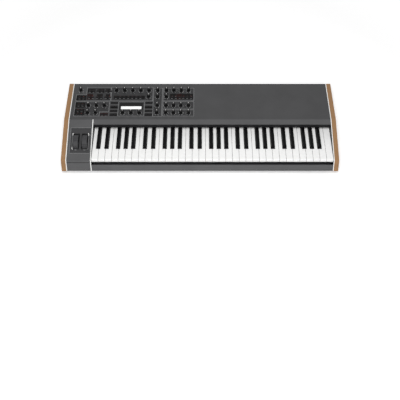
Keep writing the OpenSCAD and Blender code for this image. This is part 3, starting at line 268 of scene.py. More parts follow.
def extrude_up(height):
    """Extrudes the selected faces straight up, or down where the height is negative."""
    bpy.ops.mesh.extrude_region_move(TRANSFORM_OT_translate={"value": (0, 0, height)})


def add_bevel(piece, width, segments, angle):
    """Adds the modifier that rounds a piece's sharp edges."""
    bevel = piece.modifiers.new("Rounded edges", "BEVEL")
    bevel.width = width
    bevel.segments = segments
    bevel.limit_method = "ANGLE"
    bevel.angle_limit = angle
    return bevel


def apply_bevel(piece, width, segments=2, angle=math.radians(35)):
    pick(piece)
    bevel = add_bevel(piece, width, segments, angle)
    bpy.ops.object.modifier_apply(modifier=bevel.name)


def shade(piece, angle=math.radians(40)):
    pick(piece)
    bpy.ops.object.shade_smooth_by_angle(angle=angle)


def copy_of(piece, name, offset):
    """A copy with its own mesh, moved by an offset inside its mesh."""
    twin = piece.copy()
    twin.data = piece.data.copy()
    named(twin, name)
    twin.data.transform(Matrix.Translation(offset))
    bpy.context.scene.collection.objects.link(twin)
    return twin


def copies_at(model, places):
    """Copies of a model at several places. The model itself is removed."""
    copies = [copy_of(model, f"{model.name}_{number}", place) for number, place in enumerate(places)]
    bpy.data.objects.remove(model)
    return copies


def join(pieces, name):
    pick(pieces[0])
    for piece in pieces[1:]:
        piece.select_set(True)
    if len(pieces) > 1:
        bpy.ops.object.join()
    return named(pieces[0], name)


def flat_outline(name, corners):
    """A flat face with the given corners, left open for editing."""
    deselect()
    bpy.ops.mesh.primitive_circle_add(vertices=len(corners), fill_type="NGON")
    face = started(name)
    for vertex, corner in zip(face.data.vertices, corners):
        vertex.co = corner
    open_for_edit(face)
    select_all()
    bpy.ops.mesh.normals_make_consistent(inside=False)
    return face


def raise_outline(face, height):
    """Gives the open flat piece a thickness and closes it."""
    select_all()
    extrude_up(height)
    select_all()
    bpy.ops.mesh.normals_make_consistent(inside=False)
    close_edit()
    return face


def ring(name, corners, width, height, radius=0):
    """A closed raised line through the given corners, with rounded corners where a radius is given."""
    face = flat_outline(name, corners)
    if radius:
        bpy.ops.mesh.bevel(offset=radius, segments=5, affect="VERTICES")
        select_all()
    bpy.ops.mesh.inset(thickness=width)
    bpy.ops.mesh.delete(type="FACE")
    return raise_outline(face, height)


def field(name, corners, height, radius):
    """A closed flat pad with rounded corners."""
    face = flat_outline(name, corners)
    bpy.ops.mesh.bevel(offset=radius, segments=3, affect="VERTICES")
    return raise_outline(face, height)


def rectangle(left, front, right, back):
    corners = ((left, front), (right, front), (right, back), (left, back))
    return [Vector((across, along, 0)) for across, along in corners]


def finish_piece(piece, body, material):
    piece.data.materials.clear()
    piece.data.materials.append(material)
    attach(piece, body)
    return piece


def on_case(pieces, name, material, place=None):
    """Joins fixed pieces into one that rides on the case, moved by a matrix where one is given."""
    joined = join(pieces, name)
    if place:
        joined.data.transform(place)
    return finish_piece(joined, "case", material)


def solids(node):
    """Lowest and highest corner of each separate solid of a CAD node."""
    mesh = bmesh.new()
    mesh.from_mesh(frame["nodes"][node].data)
    bmesh.ops.remove_doubles(mesh, verts=mesh.verts, dist=MERGE)
    boxes, seen = [], set()
    for start in mesh.verts:
        if start in seen:
            continue
        seen.add(start)
        group, open_ends = [], [start]
        while open_ends:
            corner = open_ends.pop()
            group.append(corner.co.copy())
            for edge in corner.link_edges:
                other = edge.other_vert(corner)
                if other not in seen:
                    seen.add(other)
                    open_ends.append(other)
        boxes.append((Vector(map(min, zip(*group))), Vector(map(max, zip(*group)))))
    mesh.free()
    return boxes


def knob_middles():
    """The middle of every knob, at the height of the panel's top."""
    boxes = [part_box(node) for node in KNOB_NODES] + solids("panel_knobs")
    return [Vector(((low.x + high.x) / 2, (low.y + high.y) / 2, PANEL_TOP)) for low, high in boxes]


def panel_outline(corners):
    """Corners on the panel's top, given in millimetres from its left edge and from its bend."""
    return [Vector((PANEL_LEFT + across * MM, BEND + back * MM, PANEL_TOP)) for across, back in corners]


def largest_face(node, test):
    """The largest of a CAD node's faces that pass a test."""
    faces = [face for face in frame["nodes"][node].data.polygons if test(face)]
    return max(faces, key=lambda face: face.area)


def slope_matrix(normal, start):
    """Turns places across, up and out of a sloping face into the frame, from the panel's left edge."""
    turn = Matrix((Vector((1, 0, 0)), Vector((0, normal.z, -normal.y)), normal)).transposed().to_4x4()
    return Matrix.Translation(Vector((PANEL_LEFT, start.y, start.z))) @ turn


def deck_matrix(node):
    """The matrix of the sloping deck, from its bend, taken from a node that lies in it."""
    # The deck looks up and a little forward
    top = largest_face(node, lambda face: face.normal.z > 0.9 and face.normal.y < -0.1)
    run = Vector((0, top.normal.z, -top.normal.y))
    return slope_matrix(top.normal, top.center - run * ((top.center.y - BEND) / run.y))


def nose_matrix(node):
    """The matrix of a node's slanted nose, from the nose's upper edge."""
    # The nose looks forward and a little up
    front = largest_face(node, lambda face: face.normal.y < -0.7 and face.normal.z > 0.2)
    corners = frame["nodes"][node].data.vertices
    upper = max((corners[number].co for number in front.vertices), key=lambda place: place.z)
    return slope_matrix(front.normal, upper)


# Materials

# Levels between which nearly all of a noise pattern lies
PATTERN_LOW, PATTERN_HIGH = 0.3, 0.7


def new_material(name):
    material = bpy.data.materials.new(name)
    material.use_nodes = True
    tree = material.node_tree
    shader = tree.nodes["Principled BSDF"]
    place = tree.nodes.new("ShaderNodeTexCoord").outputs["Object"]
    return material, tree, shader, place


def set_inputs(node, values):
    for name, value in values.items():
        node.inputs[name].default_value = value


def noise(tree, place, scale, stretch=None, detail=3, distortion=0):
    if stretch:
        mapping = tree.nodes.new("ShaderNodeMapping")
        set_inputs(mapping, {"Scale": stretch})
        tree.links.new(place, mapping.inputs["Vector"])
        place = mapping.outputs["Vector"]
    pattern = tree.nodes.new("ShaderNodeTexNoise")
    set_inputs(pattern, {"Scale": scale, "Detail": detail, "Distortion": distortion})
    tree.links.new(place, pattern.inputs["Vector"])
    return pattern.outputs["Fac"]


def calculated(tree, operation, *values):
    """A Math node's result, from sockets and plain numbers."""
    step = tree.nodes.new("ShaderNodeMath")
    step.operation = operation
    for value, target in zip(values, step.inputs):
        if isinstance(value, float):
            target.default_value = value
        else:
            tree.links.new(value, target)
    return step.outputs[0]


def remapped(tree, value, *limits):
    """A value moved from one range, given by its low and high end, to another, or to 0 and 1."""
    step = tree.nodes.new("ShaderNodeMapRange")
    set_inputs(step, dict(zip(("From Min", "From Max", "To Min", "To Max"), limits)))
    tree.links.new(value, step.inputs["Value"])
    return step.outputs["Result"]


def spread(tree, pattern, low, high):
    """A noise pattern stretched to run from low to high."""
    return remapped(tree, pattern, PATTERN_LOW, PATTERN_HIGH, low, high)


def ramp(tree, value, stops):
    """Colours along a pattern, as pairs of a position and a colour."""
    band = tree.nodes.new("ShaderNodeValToRGB")
    elements = band.color_ramp.elements
    while len(elements) < len(stops):
        elements.new(0.5)
    for element, (position, tone) in zip(elements, stops):
        element.position = position
        element.color = (*tone, 1)
    tree.links.new(value, band.inputs["Fac"])
    return band.outputs["Color"]


def toned(base, factor):
    return tuple(min(1, level * factor) for level in base)


def cloudy(tree, clouds, base, variety):
    """A colour that wavers by a share of itself."""
    stops = [(PATTERN_LOW, toned(base, 1 - variety)), (PATTERN_HIGH, toned(base, 1 + variety))]
    return ramp(tree, clouds, stops)


def roughen(tree, shader, height, strength, distance):
    bump = tree.nodes.new("ShaderNodeBump")
    set_inputs(bump, {"Strength": strength, "Distance": distance})
    tree.links.new(height, bump.inputs["Height"])
    tree.links.new(bump.outputs["Normal"], shader.inputs["Normal"])


def facing_share(tree, axis, start, end):
    """Runs from 0 to 1 as faces turn towards an axis of the frame."""
    axes = tree.nodes.new("ShaderNodeSeparateXYZ")
    tree.links.new(tree.nodes.new("ShaderNodeTexCoord").outputs["Normal"], axes.inputs[0])
    return remapped(tree, calculated(tree, "ABSOLUTE", axes.outputs[axis]), start, end)


def mixed_colour(tree, share, first, second):
    mix = tree.nodes.new("ShaderNodeMix")
    mix.data_type = "RGBA"
    # The sockets for colours come after those for numbers and vectors, under the same names
    factor, first_in, second_in = mix.inputs[0], mix.inputs[6], mix.inputs[7]
    for source, target in ((share, factor), (first, first_in), (second, second_in)):
        tree.links.new(source, target)
    return mix.outputs[2]


def coating(
    name, base, roughness, grain=900, depth=0.02 * MM, variety=0.06, metal=0, strength=0.25, shine=0.5,
    facing_tone_and_shade=None,
):
    """A moulded or painted finish: cloudy colour, uneven gloss and a fine grain.

    Where the last argument gives an axis, a start, an end and a colour, faces that look along that axis take
    that colour: painted shade by the way a face looks.
    """
    cloud_scale, gloss_scale, unevenness = 14, 60, 0.05
    material, tree, shader, place = new_material(name)
    clouds = noise(tree, place, cloud_scale, detail=4)
    paint = cloudy(tree, clouds, base, variety)
    if facing_tone_and_shade:
        axis, start, end, other = facing_tone_and_shade
        share = facing_share(tree, axis, start, end)
        paint = mixed_colour(tree, share, paint, cloudy(tree, clouds, other, variety))
    tree.links.new(paint, shader.inputs["Base Color"])
    gloss = spread(tree, noise(tree, place, gloss_scale), roughness - unevenness, roughness + unevenness)
    tree.links.new(gloss, shader.inputs["Roughness"])
    set_inputs(shader, {"Metallic": metal, "Specular IOR Level": shine})
    roughen(tree, shader, noise(tree, place, grain, detail=2), strength, depth)
    return material


def ink_finish(name, base):
    """Screen-printed ink, a little uneven."""
    return coating(name, base, roughness=0.55, grain=2200, variety=0.05, strength=0.15)


def wood(name, base):
    """Straight-grained wood, with its grain along the depth of the case."""
    broad_scale, fine_scale = 26, 420
    broad_share, fine_share = 0.65, 0.35
    material, tree, shader, place = new_material(name)
    broad = noise(tree, place, broad_scale, (1, 0.07, 1), detail=5, distortion=0.4)
    fine = noise(tree, place, fine_scale, (1, 0.03, 1))
    weighted = calculated(tree, "MULTIPLY", broad, broad_share)
    grain = calculated(tree, "MULTIPLY_ADD", fine, fine_share, weighted)
    tones = [(0.34, toned(base, 0.78)), (0.5, base), (0.66, toned(base, 1.14))]
    tree.links.new(ramp(tree, grain, tones), shader.inputs["Base Color"])
    tree.links.new(spread(tree, fine, 0.42, 0.58), shader.inputs["Roughness"])
    set_inputs(shader, {"Specular IOR Level": 0.2})
    roughen(tree, shader, fine, strength=0.3, distance=0.05 * MM)
    return material


def glow(name, base, strength):
    """The lit face of the display, with its fine grid of dots."""
    dot = 0.7 * MM
    material, tree, shader, place = new_material(name)
    cells = tree.nodes.new("ShaderNodeTexBrick")
    cells.offset = 0
    set_inputs(cells, {"Scale": 1 / dot, "Mortar Size": 0.04, "Brick Width": 1, "Row Height": 1})
    for part, factor in (("Color1", 1), ("Color2", 0.985), ("Mortar", 0.93)):
        set_inputs(cells, {part: (*toned(base, factor), 1)})
    tree.links.new(place, cells.inputs["Vector"])
    tree.links.new(cells.outputs["Color"], shader.inputs["Base Color"])
    tree.links.new(cells.outputs["Color"], shader.inputs["Emission Color"])
    set_inputs(shader, {"Emission Strength": strength, "Roughness": 0.25})
    return material


def felt_finish(name, base):
    """Matted wool fibres with a soft sheen."""
    fibre_scale = 700
    material, tree, shader, place = new_material(name)
    fibres = noise(tree, place, fibre_scale, detail=6, distortion=1.2)
    tones = [(0.35, toned(base, 0.75)), (0.65, toned(base, 1.2))]
    tree.links.new(ramp(tree, fibres, tones), shader.inputs["Base Color"])
    set_inputs(shader, {"Roughness": 0.95, "Sheen Weight": 0.4})
    roughen(tree, shader, fibres, strength=0.6, distance=0.2 * MM)
    return material


def slot_materials():
    """One finish for each material slot of the record."""
    tint = colours()
    # The flat top takes the darker panel tone: painted shade, as the slopes catch more of the front light
    flat_top_shade = ("Z", 0.98, 0.995, tint.panel)
    # Broad faces of the pale plates take a near-black tone: partly a dark inner wall, partly painted shade in
    # the key well
    plate_side_dark_and_shade = ("X", 0.6, 0.75, tint.trim_side_dark_and_shade)
    # Faces of the white keys that look sideways take a grey tone: painted shade in the gaps between keys
    key_side_shade = ("X", 0.8, 0.95, tint.natural_side_shade)
    return {
        "panel_paint": coating("Panel paint", tint.deck, roughness=0.5, shine=0.12, facing_tone_and_shade=flat_top_shade),
        "deck_paint": coating("Deck paint", tint.deck, roughness=0.48, shine=0.12),
        "black_steel": coating("Black steel", srgb(50, 50, 52), roughness=0.55, grain=1400),
        "plate_plastic": coating("Plate plastic", tint.plate, roughness=0.55, grain=1200, shine=0.12),
        "cheek_wood": wood("Cheek wood", tint.wood),
        "pale_trim": coating(
            "Pale trim", tint.trim, roughness=0.42, grain=1500, variety=0.02, strength=0.1, shine=0.3,
            facing_tone_and_shade=plate_side_dark_and_shade,
        ),
        "fascia_plastic": coating("Fascia plastic", srgb(24, 24, 26), roughness=0.6, shine=0.2),
        "foot_rubber": coating("Foot rubber", srgb(30, 30, 30), roughness=0.85, grain=1600, depth=0.06 * MM),
        "screw_steel": coating("Screw steel", srgb(70, 70, 73), roughness=0.32, metal=1, variety=0.1),
        "bare_steel": coating("Bare steel", srgb(190, 192, 195), roughness=0.35, metal=1, variety=0.05),
        "felt": felt_finish("Felt", srgb(122, 47, 51)),
        "circuit_board": coating("Circuit board", srgb(38, 84, 54), roughness=0.35, grain=300, variety=0.15),
        "component_plastic": coating("Component plastic", srgb(28, 28, 30), roughness=0.45),
        "can_metal": coating("Can metal", srgb(186, 188, 190), roughness=0.3, metal=1, variety=0.05),
        "display_body": coating("Display body", srgb(206, 210, 212), roughness=0.5),
        "display_glass": glow("Display glass", tint.lit, strength=0.35),
        "wheel_rubber": coating(
            "Wheel rubber", srgb(44, 44, 46), roughness=0.62, grain=1500, depth=0.05 * MM, shine=0.4
        ),
        "natural_plastic": coating(
            "White key plastic", tint.natural, roughness=0.26, grain=500, variety=0.012, strength=0.04,
            facing_tone_and_shade=key_side_shade,
        ),
        "sharp_plastic": coating(
            "Black key plastic", tint.sharp, roughness=0.45, grain=1800, variety=0.08, shine=0.06
        ),
        "button_plastic": coating("Button plastic", srgb(12, 12, 13), roughness=0.5, grain=1500, shine=0.15),
        "knob_plastic": coating("Knob plastic", tint.knob, roughness=0.5, grain=1500, shine=0.25),
    }


def round_edges(node, width, segments):
    """Live modifiers that merge a CAD node's triangles and round its sharp edges."""
    flat_angle, sharp_angle = math.radians(0.5), math.radians(40)
    solid = frame["nodes"][node]
    weld = solid.modifiers.new("Merge", "WELD")
    weld.merge_threshold = MERGE
    flat = solid.modifiers.new("Flat faces", "DECIMATE")
    flat.decimate_type = "DISSOLVE"
    flat.angle_limit = flat_angle
    add_bevel(solid, width, segments, sharp_angle)


# Corners of the panel's sections, in millimetres from its left edge and from its bend
SECTIONS = [
    [(12.5, 89.5), (139.5, 89.5), (137.5, 157), (49.5, 157), (49.5, 120), (12.5, 120)],
    [(12.5, 16), (104.5, 16), (104.5, 36), (137.5, 36), (137.5, 85), (12.5, 85)],
    [(141.5, 89.5), (293.5, 89.5), (293.5, 158), (139.5, 158)],
    [(170.5, 16), (265, 16), (265, 85), (170.5, 85)],
    [(296, 14), (328.5, 14), (328.5, 153), (296, 153)],
    [(331.5, 90), (444.5, 90), (444.5, 153), (331.5, 153)],
    [(331.5, 50), (444.5, 50), (444.5, 86), (331.5, 86)],
    [(331.5, 16), (444.5, 16), (444.5, 46), (331.5, 46)],
]


# Operators

class SYNTH_OT_finishes(bpy.types.Operator):
    """Gives every CAD node the finish of its material slot and rounds the edges that a hand would feel"""
    bl_idname = "synth.finishes"
    bl_label = "Finishes of the solids"

    WHITE_KEYS = [f"key_{note}" for note in ("c", "d", "e", "f", "g", "a", "b")]
    BLACK_KEYS = [f"key_{note}_sharp" for note in ("c", "d", "f", "g", "a")]
    KEY_GROUPS = ["lower_naturals", "upper_naturals", "lower_sharps", "upper_sharps"]
    # Nodes with rounded edges, with the width of the rounding and its number of steps
    ROUNDINGS = [
        (WHITE_KEYS + BLACK_KEYS + KEY_GROUPS, 0.5 * MM, 2),
        (["left_cheek", "right_cheek"], 1.2 * MM, 3),
        (["trim_plates", "front_rail", "wheel_block"], 0.3 * MM, 2),
        (BUTTON_NODES, 0.45 * MM, 2),
    ]

    def execute(self, context):
        finishes = slot_materials()
        for part in frame["record"]["subparts"]:
            solid = frame["nodes"][part["node"]]
            solid.data.materials.clear()
            solid.data.materials.append(finishes[part["material_slot"]])
        for nodes, width, steps in self.ROUNDINGS:
            for node in nodes:
                round_edges(node, width, steps)
        return {"FINISHED"}


class SYNTH_OT_section_lines(bpy.types.Operator):
    """Prints the outlines of the panel's sections"""
    bl_idname = "synth.section_lines"
    bl_label = "Section lines"

    def execute(self, context):
        size = sizes()
        lines = []
        for number, corners in enumerate(SECTIONS):
            outline = panel_outline(corners)
            lines.append(ring(f"section_{number}", outline, size.line_width, size.print_height))
        on_case(lines, "section_lines", ink_finish("Section ink", colours().ink))
        return {"FINISHED"}


class SYNTH_OT_button_fields(bpy.types.Operator):
    """Prints the ground of the panel's sections and the dark fields under the groups of buttons"""
    bl_idname = "synth.button_fields"
    bl_label = "Button fields"

    # Left, front, right and back edge of each field, in millimetres from the panel's left edge and bend
    FIELDS = [
        (52, 129, 80.5, 149), (87, 129, 113.5, 149), (118.5, 129, 137, 149), (88, 96, 109.5, 123),
        (120.5, 96, 138, 123), (14, 91, 49.5, 117), (14, 56, 49.5, 83), (14, 20, 49.5, 51),
        (150.5, 98, 264.5, 115), (356.5, 97, 380.5, 124), (400.5, 97, 441.5, 124),
        (141.5, 17, 169, 29), (141.5, 36, 169, 46), (141.5, 52, 169, 66), (141.5, 75, 169, 84.5),
        (267.5, 17, 294.5, 29), (267.5, 36, 294.5, 46), (267.5, 52, 294.5, 66), (267.5, 75, 294.5, 84.5),
    ]
    WARM_FIELDS = [(52.5, 96, 73.5, 123), (381, 97, 400, 124), (106.5, 17.5, 135.5, 31)]
    CORNER = 1.5 * MM

    def print_fields(self, name, fields, tone):
        pads = []
        for number, (left, front, right, back) in enumerate(fields):
            corners = panel_outline([(left, front), (right, front), (right, back), (left, back)])
            pads.append(field(f"{name}_{number}", corners, sizes().print_height, self.CORNER))
        on_case(pads, name, coating(f"Ink of {name}", tone, roughness=0.6, shine=0.08))

    def execute(self, context):
        grounds = []
        for number, corners in enumerate(SECTIONS):
            outline = flat_outline(f"ground_{number}", panel_outline(corners))
            grounds.append(raise_outline(outline, sizes().ground_height))
        paint = coating("Section ground", colours().section, roughness=0.55, shine=0.12)
        on_case(grounds, "section_grounds", paint)
        self.print_fields("button_fields", self.FIELDS, colours().field)
        self.print_fields("warm_fields", self.WARM_FIELDS, colours().warm_field)
        return {"FINISHED"}


class SYNTH_OT_button_bars(bpy.types.Operator):
    """Prints a short plain bar in front of every button that has a lamp"""
    bl_idname = "synth.button_bars"
    bl_label = "Button bars"

    CORNER = 0.3 * MM

    def execute(self, context):
        size = sizes()
        half = size.bar_width / 2
        # A bar lies on a printed field
        height = 2 * size.print_height
        bars = []
        for node in LAMP_BUTTONS:
            for low, high in solids(node):
                middle, back = (low.x + high.x) / 2, low.y - size.bar_gap
                corners = rectangle(middle - half, back - size.bar_depth, middle + half, back)
                bars.append(field(f"button_bar_{len(bars)}", corners, height, self.CORNER))
        ink = ink_finish("Bar ink", colours().ink)
        on_case(bars, "button_bars", ink, Matrix.Translation((0, 0, PANEL_TOP)))
        return {"FINISHED"}


class SYNTH_OT_knob_scales(bpy.types.Operator):
    """Prints the marks around every knob"""
    bl_idname = "synth.knob_scales"
    bl_label = "Knob scales"

    def execute(self, context):
        size = sizes()
        start, half = KNOB_RADIUS + size.tick_gap, size.tick_width / 2
        end = start + size.tick_length
        scale = add_box("knob_scale", (-half, start, 0), (half, end, size.print_height))
        apply_bevel(scale, size.print_height / 3, segments=1)
        open_for_edit(scale)
        select_all()
        bpy.ops.mesh.spin(
            steps=size.tick_count - 1, dupli=True, angle=size.scale_turn, center=(0, 0, 0), axis=UP
        )
        close_edit()
        scale.data.transform(Matrix.Rotation(size.scale_turn / 2, 4, "Z"))
        scales = copies_at(scale, knob_middles())
        on_case(scales, "knob_scales", ink_finish("Scale ink", colours().mark))
        return {"FINISHED"}


class SYNTH_OT_scale_digits(bpy.types.Operator):
    """Prints plain numbers at the ends and the middle of every knob's scale"""
    bl_idname = "synth.scale_digits"
    bl_label = "Scale digits"

    CURVE_STEPS = 3
    # Distance from a scale to the middle of its numbers, as a share of their height
    DISTANCE = 0.75

    def digit(self, text, place):
        size = sizes()
        deselect()
        bpy.ops.object.text_add()
        glyph = bpy.context.view_layer.objects.active
        glyph.data.body = text
        glyph.data.size = size.digit_size
        glyph.data.align_x, glyph.data.align_y = "CENTER", "CENTER"
        glyph.data.resolution_u = self.CURVE_STEPS
        bpy.ops.object.convert(target="MESH")
        glyph = started(f"digit_{text}")
        open_for_edit(glyph)
        raise_outline(glyph, size.print_height)
        glyph.data.transform(Matrix.Translation(place))
        return glyph

    def execute(self, context):
        size = sizes()
        reach = KNOB_RADIUS + size.tick_gap + size.tick_length + self.DISTANCE * size.digit_size
        numbers = []
        for text, turn in (("0", size.scale_turn / 2), ("5", 0), ("10", -size.scale_turn / 2)):
            place = Matrix.Rotation(turn, 4, "Z") @ Vector((0, reach, 0))
            numbers.append(self.digit(text, place))
        digits = copies_at(join(numbers, "digits"), knob_middles())
        on_case(digits, "scale_digits", ink_finish("Digit ink", colours().mark))
        return {"FINISHED"}


class SYNTH_OT_knobs(bpy.types.Operator):
    """Models the fluted knobs with their white pointers"""
    bl_idname = "synth.knobs"
    bl_label = "Knobs"

    # How far the foot stands out around the fluted body, and the height of the slope between them
    FOOT_RIM = 0.4 * MM
    FOOT_SLOPE = 0.3 * MM
    # Flat rest of a side beside its groove
    GROOVE_SIDE = 0.2 * MM
    # The cap's rim, and the width and depth of the slope down to its dish
    CAP_RIM = 0.9 * MM
    CAP_SLOPE = 0.5 * MM
    CAP_DISH = 0.3 * MM
    KNOB_EDGE = 0.15 * MM
    # The pointer starts near the axis, goes over the cap's edge and down the side
    POINTER_START = 1.2 * MM
    POINTER_DROP = 5 * MM
    POINTER_PROUD = 0.3 * MM
    POINTER_EDGE = 0.2 * MM
    # About the height over which a knob narrows, for the pointer's lean
    TAPER_HEIGHT = 12 * MM

    def model_knob(self):
        size = sizes()
        radius = KNOB_RADIUS - self.FOOT_RIM
        foot = size.knob_lift + size.skirt_height
        knob = add_disc("knob", (0, 0, foot), radius, KNOB_TOP - foot, 2 * size.flutes)
        pick_faces(knob, facing(UP))
        taper = (radius - size.knob_top_inset) / radius
        bpy.ops.transform.resize(value=(taper, taper, 1), center_override=(0, 0, KNOB_TOP))
        close_edit()
        sides = [face.index for face in knob.data.polygons if abs(face.normal.z) < 0.5]
        grooves = set(sides[::2])
        pick_faces(knob, lambda face: face.index in grooves)
        bpy.ops.mesh.inset(thickness=self.GROOVE_SIDE, depth=-size.flute_depth, use_individual=True)
        pick_faces(knob, facing(UP))
        bpy.ops.mesh.inset(thickness=self.CAP_RIM)
        bpy.ops.mesh.inset(thickness=self.CAP_SLOPE, depth=-self.CAP_DISH)
        pick_faces(knob, facing(DOWN))
        extrude_up(-self.FOOT_SLOPE)
        flare = KNOB_RADIUS / radius
        bpy.ops.transform.resize(value=(flare, flare, 1), center_override=(0, 0, foot))
        extrude_up(size.knob_lift - foot + self.FOOT_SLOPE)
        close_edit()
        apply_bevel(knob, self.KNOB_EDGE, segments=1, angle=math.radians(50))
        shade(knob, angle=math.radians(35))
        return knob

    def model_pointer(self):
        size = sizes()
        half = size.pointer_width / 2
        reach = KNOB_RADIUS - self.FOOT_RIM - size.knob_top_inset + self.POINTER_PROUD
        low = (-half, self.POINTER_START, KNOB_TOP - self.POINTER_DROP)
        pointer = add_box("pointer", low, (half, reach, KNOB_TOP))
        pick_faces(pointer, facing(BACK))
        lean = size.knob_top_inset * self.POINTER_DROP / self.TAPER_HEIGHT
        bpy.ops.transform.translate(value=(0, lean / 2, 0))
        close_edit()
        apply_bevel(pointer, self.POINTER_EDGE)
        return pointer

    def execute(self, context):
        knob, pointer = self.model_knob(), self.model_pointer()
        plastic = coating("Knob body plastic", colours().knob, roughness=0.45, grain=1500, shine=0.2)
        white = ink_finish("Pointer white", colours().pointer)
        places = knob_middles()
        for node, middle in zip(KNOB_NODES, places):
            body = finish_piece(copy_of(knob, f"{node}_body", middle), node, plastic)
            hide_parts(node)
            finish_piece(copy_of(pointer, f"{node}_pointer", middle), node, white)
        fixed = places[len(KNOB_NODES):]
        bodies = on_case(copies_at(knob, fixed), "panel_knob_bodies", plastic)
        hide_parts("panel_knobs")
        on_case(copies_at(pointer, fixed), "panel_knob_pointers", white)
        return {"FINISHED"}


class SYNTH_OT_lamps(bpy.types.Operator):
    """Sets a small red lamp behind each of the left and the sound buttons, some of them lit"""
    bl_idname = "synth.lamps"
    bl_label = "Lamps"

    # Numbers of the lit lamps, counted from the left, first by the left buttons and then by the sound buttons
    LIT = (1, 4, 7, 10, 20, 30, 32, 34)
    EDGE = 0.35 * MM

    def execute(self, context):
        size = sizes()
        half_width, half_depth = size.lamp_width / 2, size.lamp_depth / 2
        lamp = add_box("lamp", (-half_width, -half_depth, 0), (half_width, half_depth, size.lamp_height))
        apply_bevel(lamp, self.EDGE, segments=3)
        shade(lamp)
        places = []
        for node in LAMP_BUTTONS:
            for low, high in sorted(solids(node), key=lambda box: tuple(box[0])):
                places.append(Vector(((low.x + high.x) / 2, high.y + size.lamp_gap, PANEL_TOP)))
        lamps = copies_at(lamp, places)
        lit = [lamps[number] for number in self.LIT]
        dark = [lamp for number, lamp in enumerate(lamps) if number not in self.LIT]
        for pieces, name, label, tone in (
            (lit, "lit_lamps", "Lit lamp lens", colours().lit_lamp),
            (dark, "button_lamps", "Lamp lens", colours().lamp),
        ):
            on_case(pieces, name, coating(label, tone, roughness=0.2, grain=400))
        return {"FINISHED"}


class SYNTH_OT_display(bpy.types.Operator):
    """Models the dark bezel of the display and its lit face"""
    bl_idname = "synth.display"
    bl_label = "Display"

    BEZEL_EDGE = 0.25 * MM
    FACE_HEIGHT = 0.6 * MM
    FACE_EDGE = 0.2 * MM

    def execute(self, context):
        size = sizes()
        middle = (WINDOW_LOW + WINDOW_HIGH) / 2
        half_width, half_depth = size.lit_width / 2, size.lit_depth / 2
        top = PANEL_TOP + size.bezel_rise
        floor = top - size.bezel_depth
        bezel = add_box("display_bezel", WINDOW_LOW, (WINDOW_HIGH.x, WINDOW_HIGH.y, top))
        pick_faces(bezel, facing(UP))
        side = (WINDOW_HIGH.x - WINDOW_LOW.x) / 2 - half_width
        bpy.ops.mesh.inset(thickness=side)
        stretch = half_depth / ((WINDOW_HIGH.y - WINDOW_LOW.y) / 2 - side)
        bpy.ops.transform.resize(value=(1, stretch, 1), center_override=(middle.x, middle.y, top))
        bpy.ops.transform.translate(value=(0, -size.lit_shift, 0))
        extrude_up(floor - top)
        close_edit()
        apply_bevel(bezel, self.BEZEL_EDGE)
        plastic = coating("Bezel plastic", srgb(15, 15, 16), roughness=0.45, shine=0.12)
        finish_piece(bezel, "case", plastic)
        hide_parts("display_window")
        front = middle.y - size.lit_shift
        low = Vector((middle.x - half_width, front - half_depth, floor))
        high = Vector((middle.x + half_width, front + half_depth, floor + self.FACE_HEIGHT))
        lit = add_box("display_face", low, high)
        apply_bevel(lit, self.FACE_EDGE)
        finish_piece(lit, "case", glow("Lit display", colours().lit, strength=0.2))
        return {"FINISHED"}


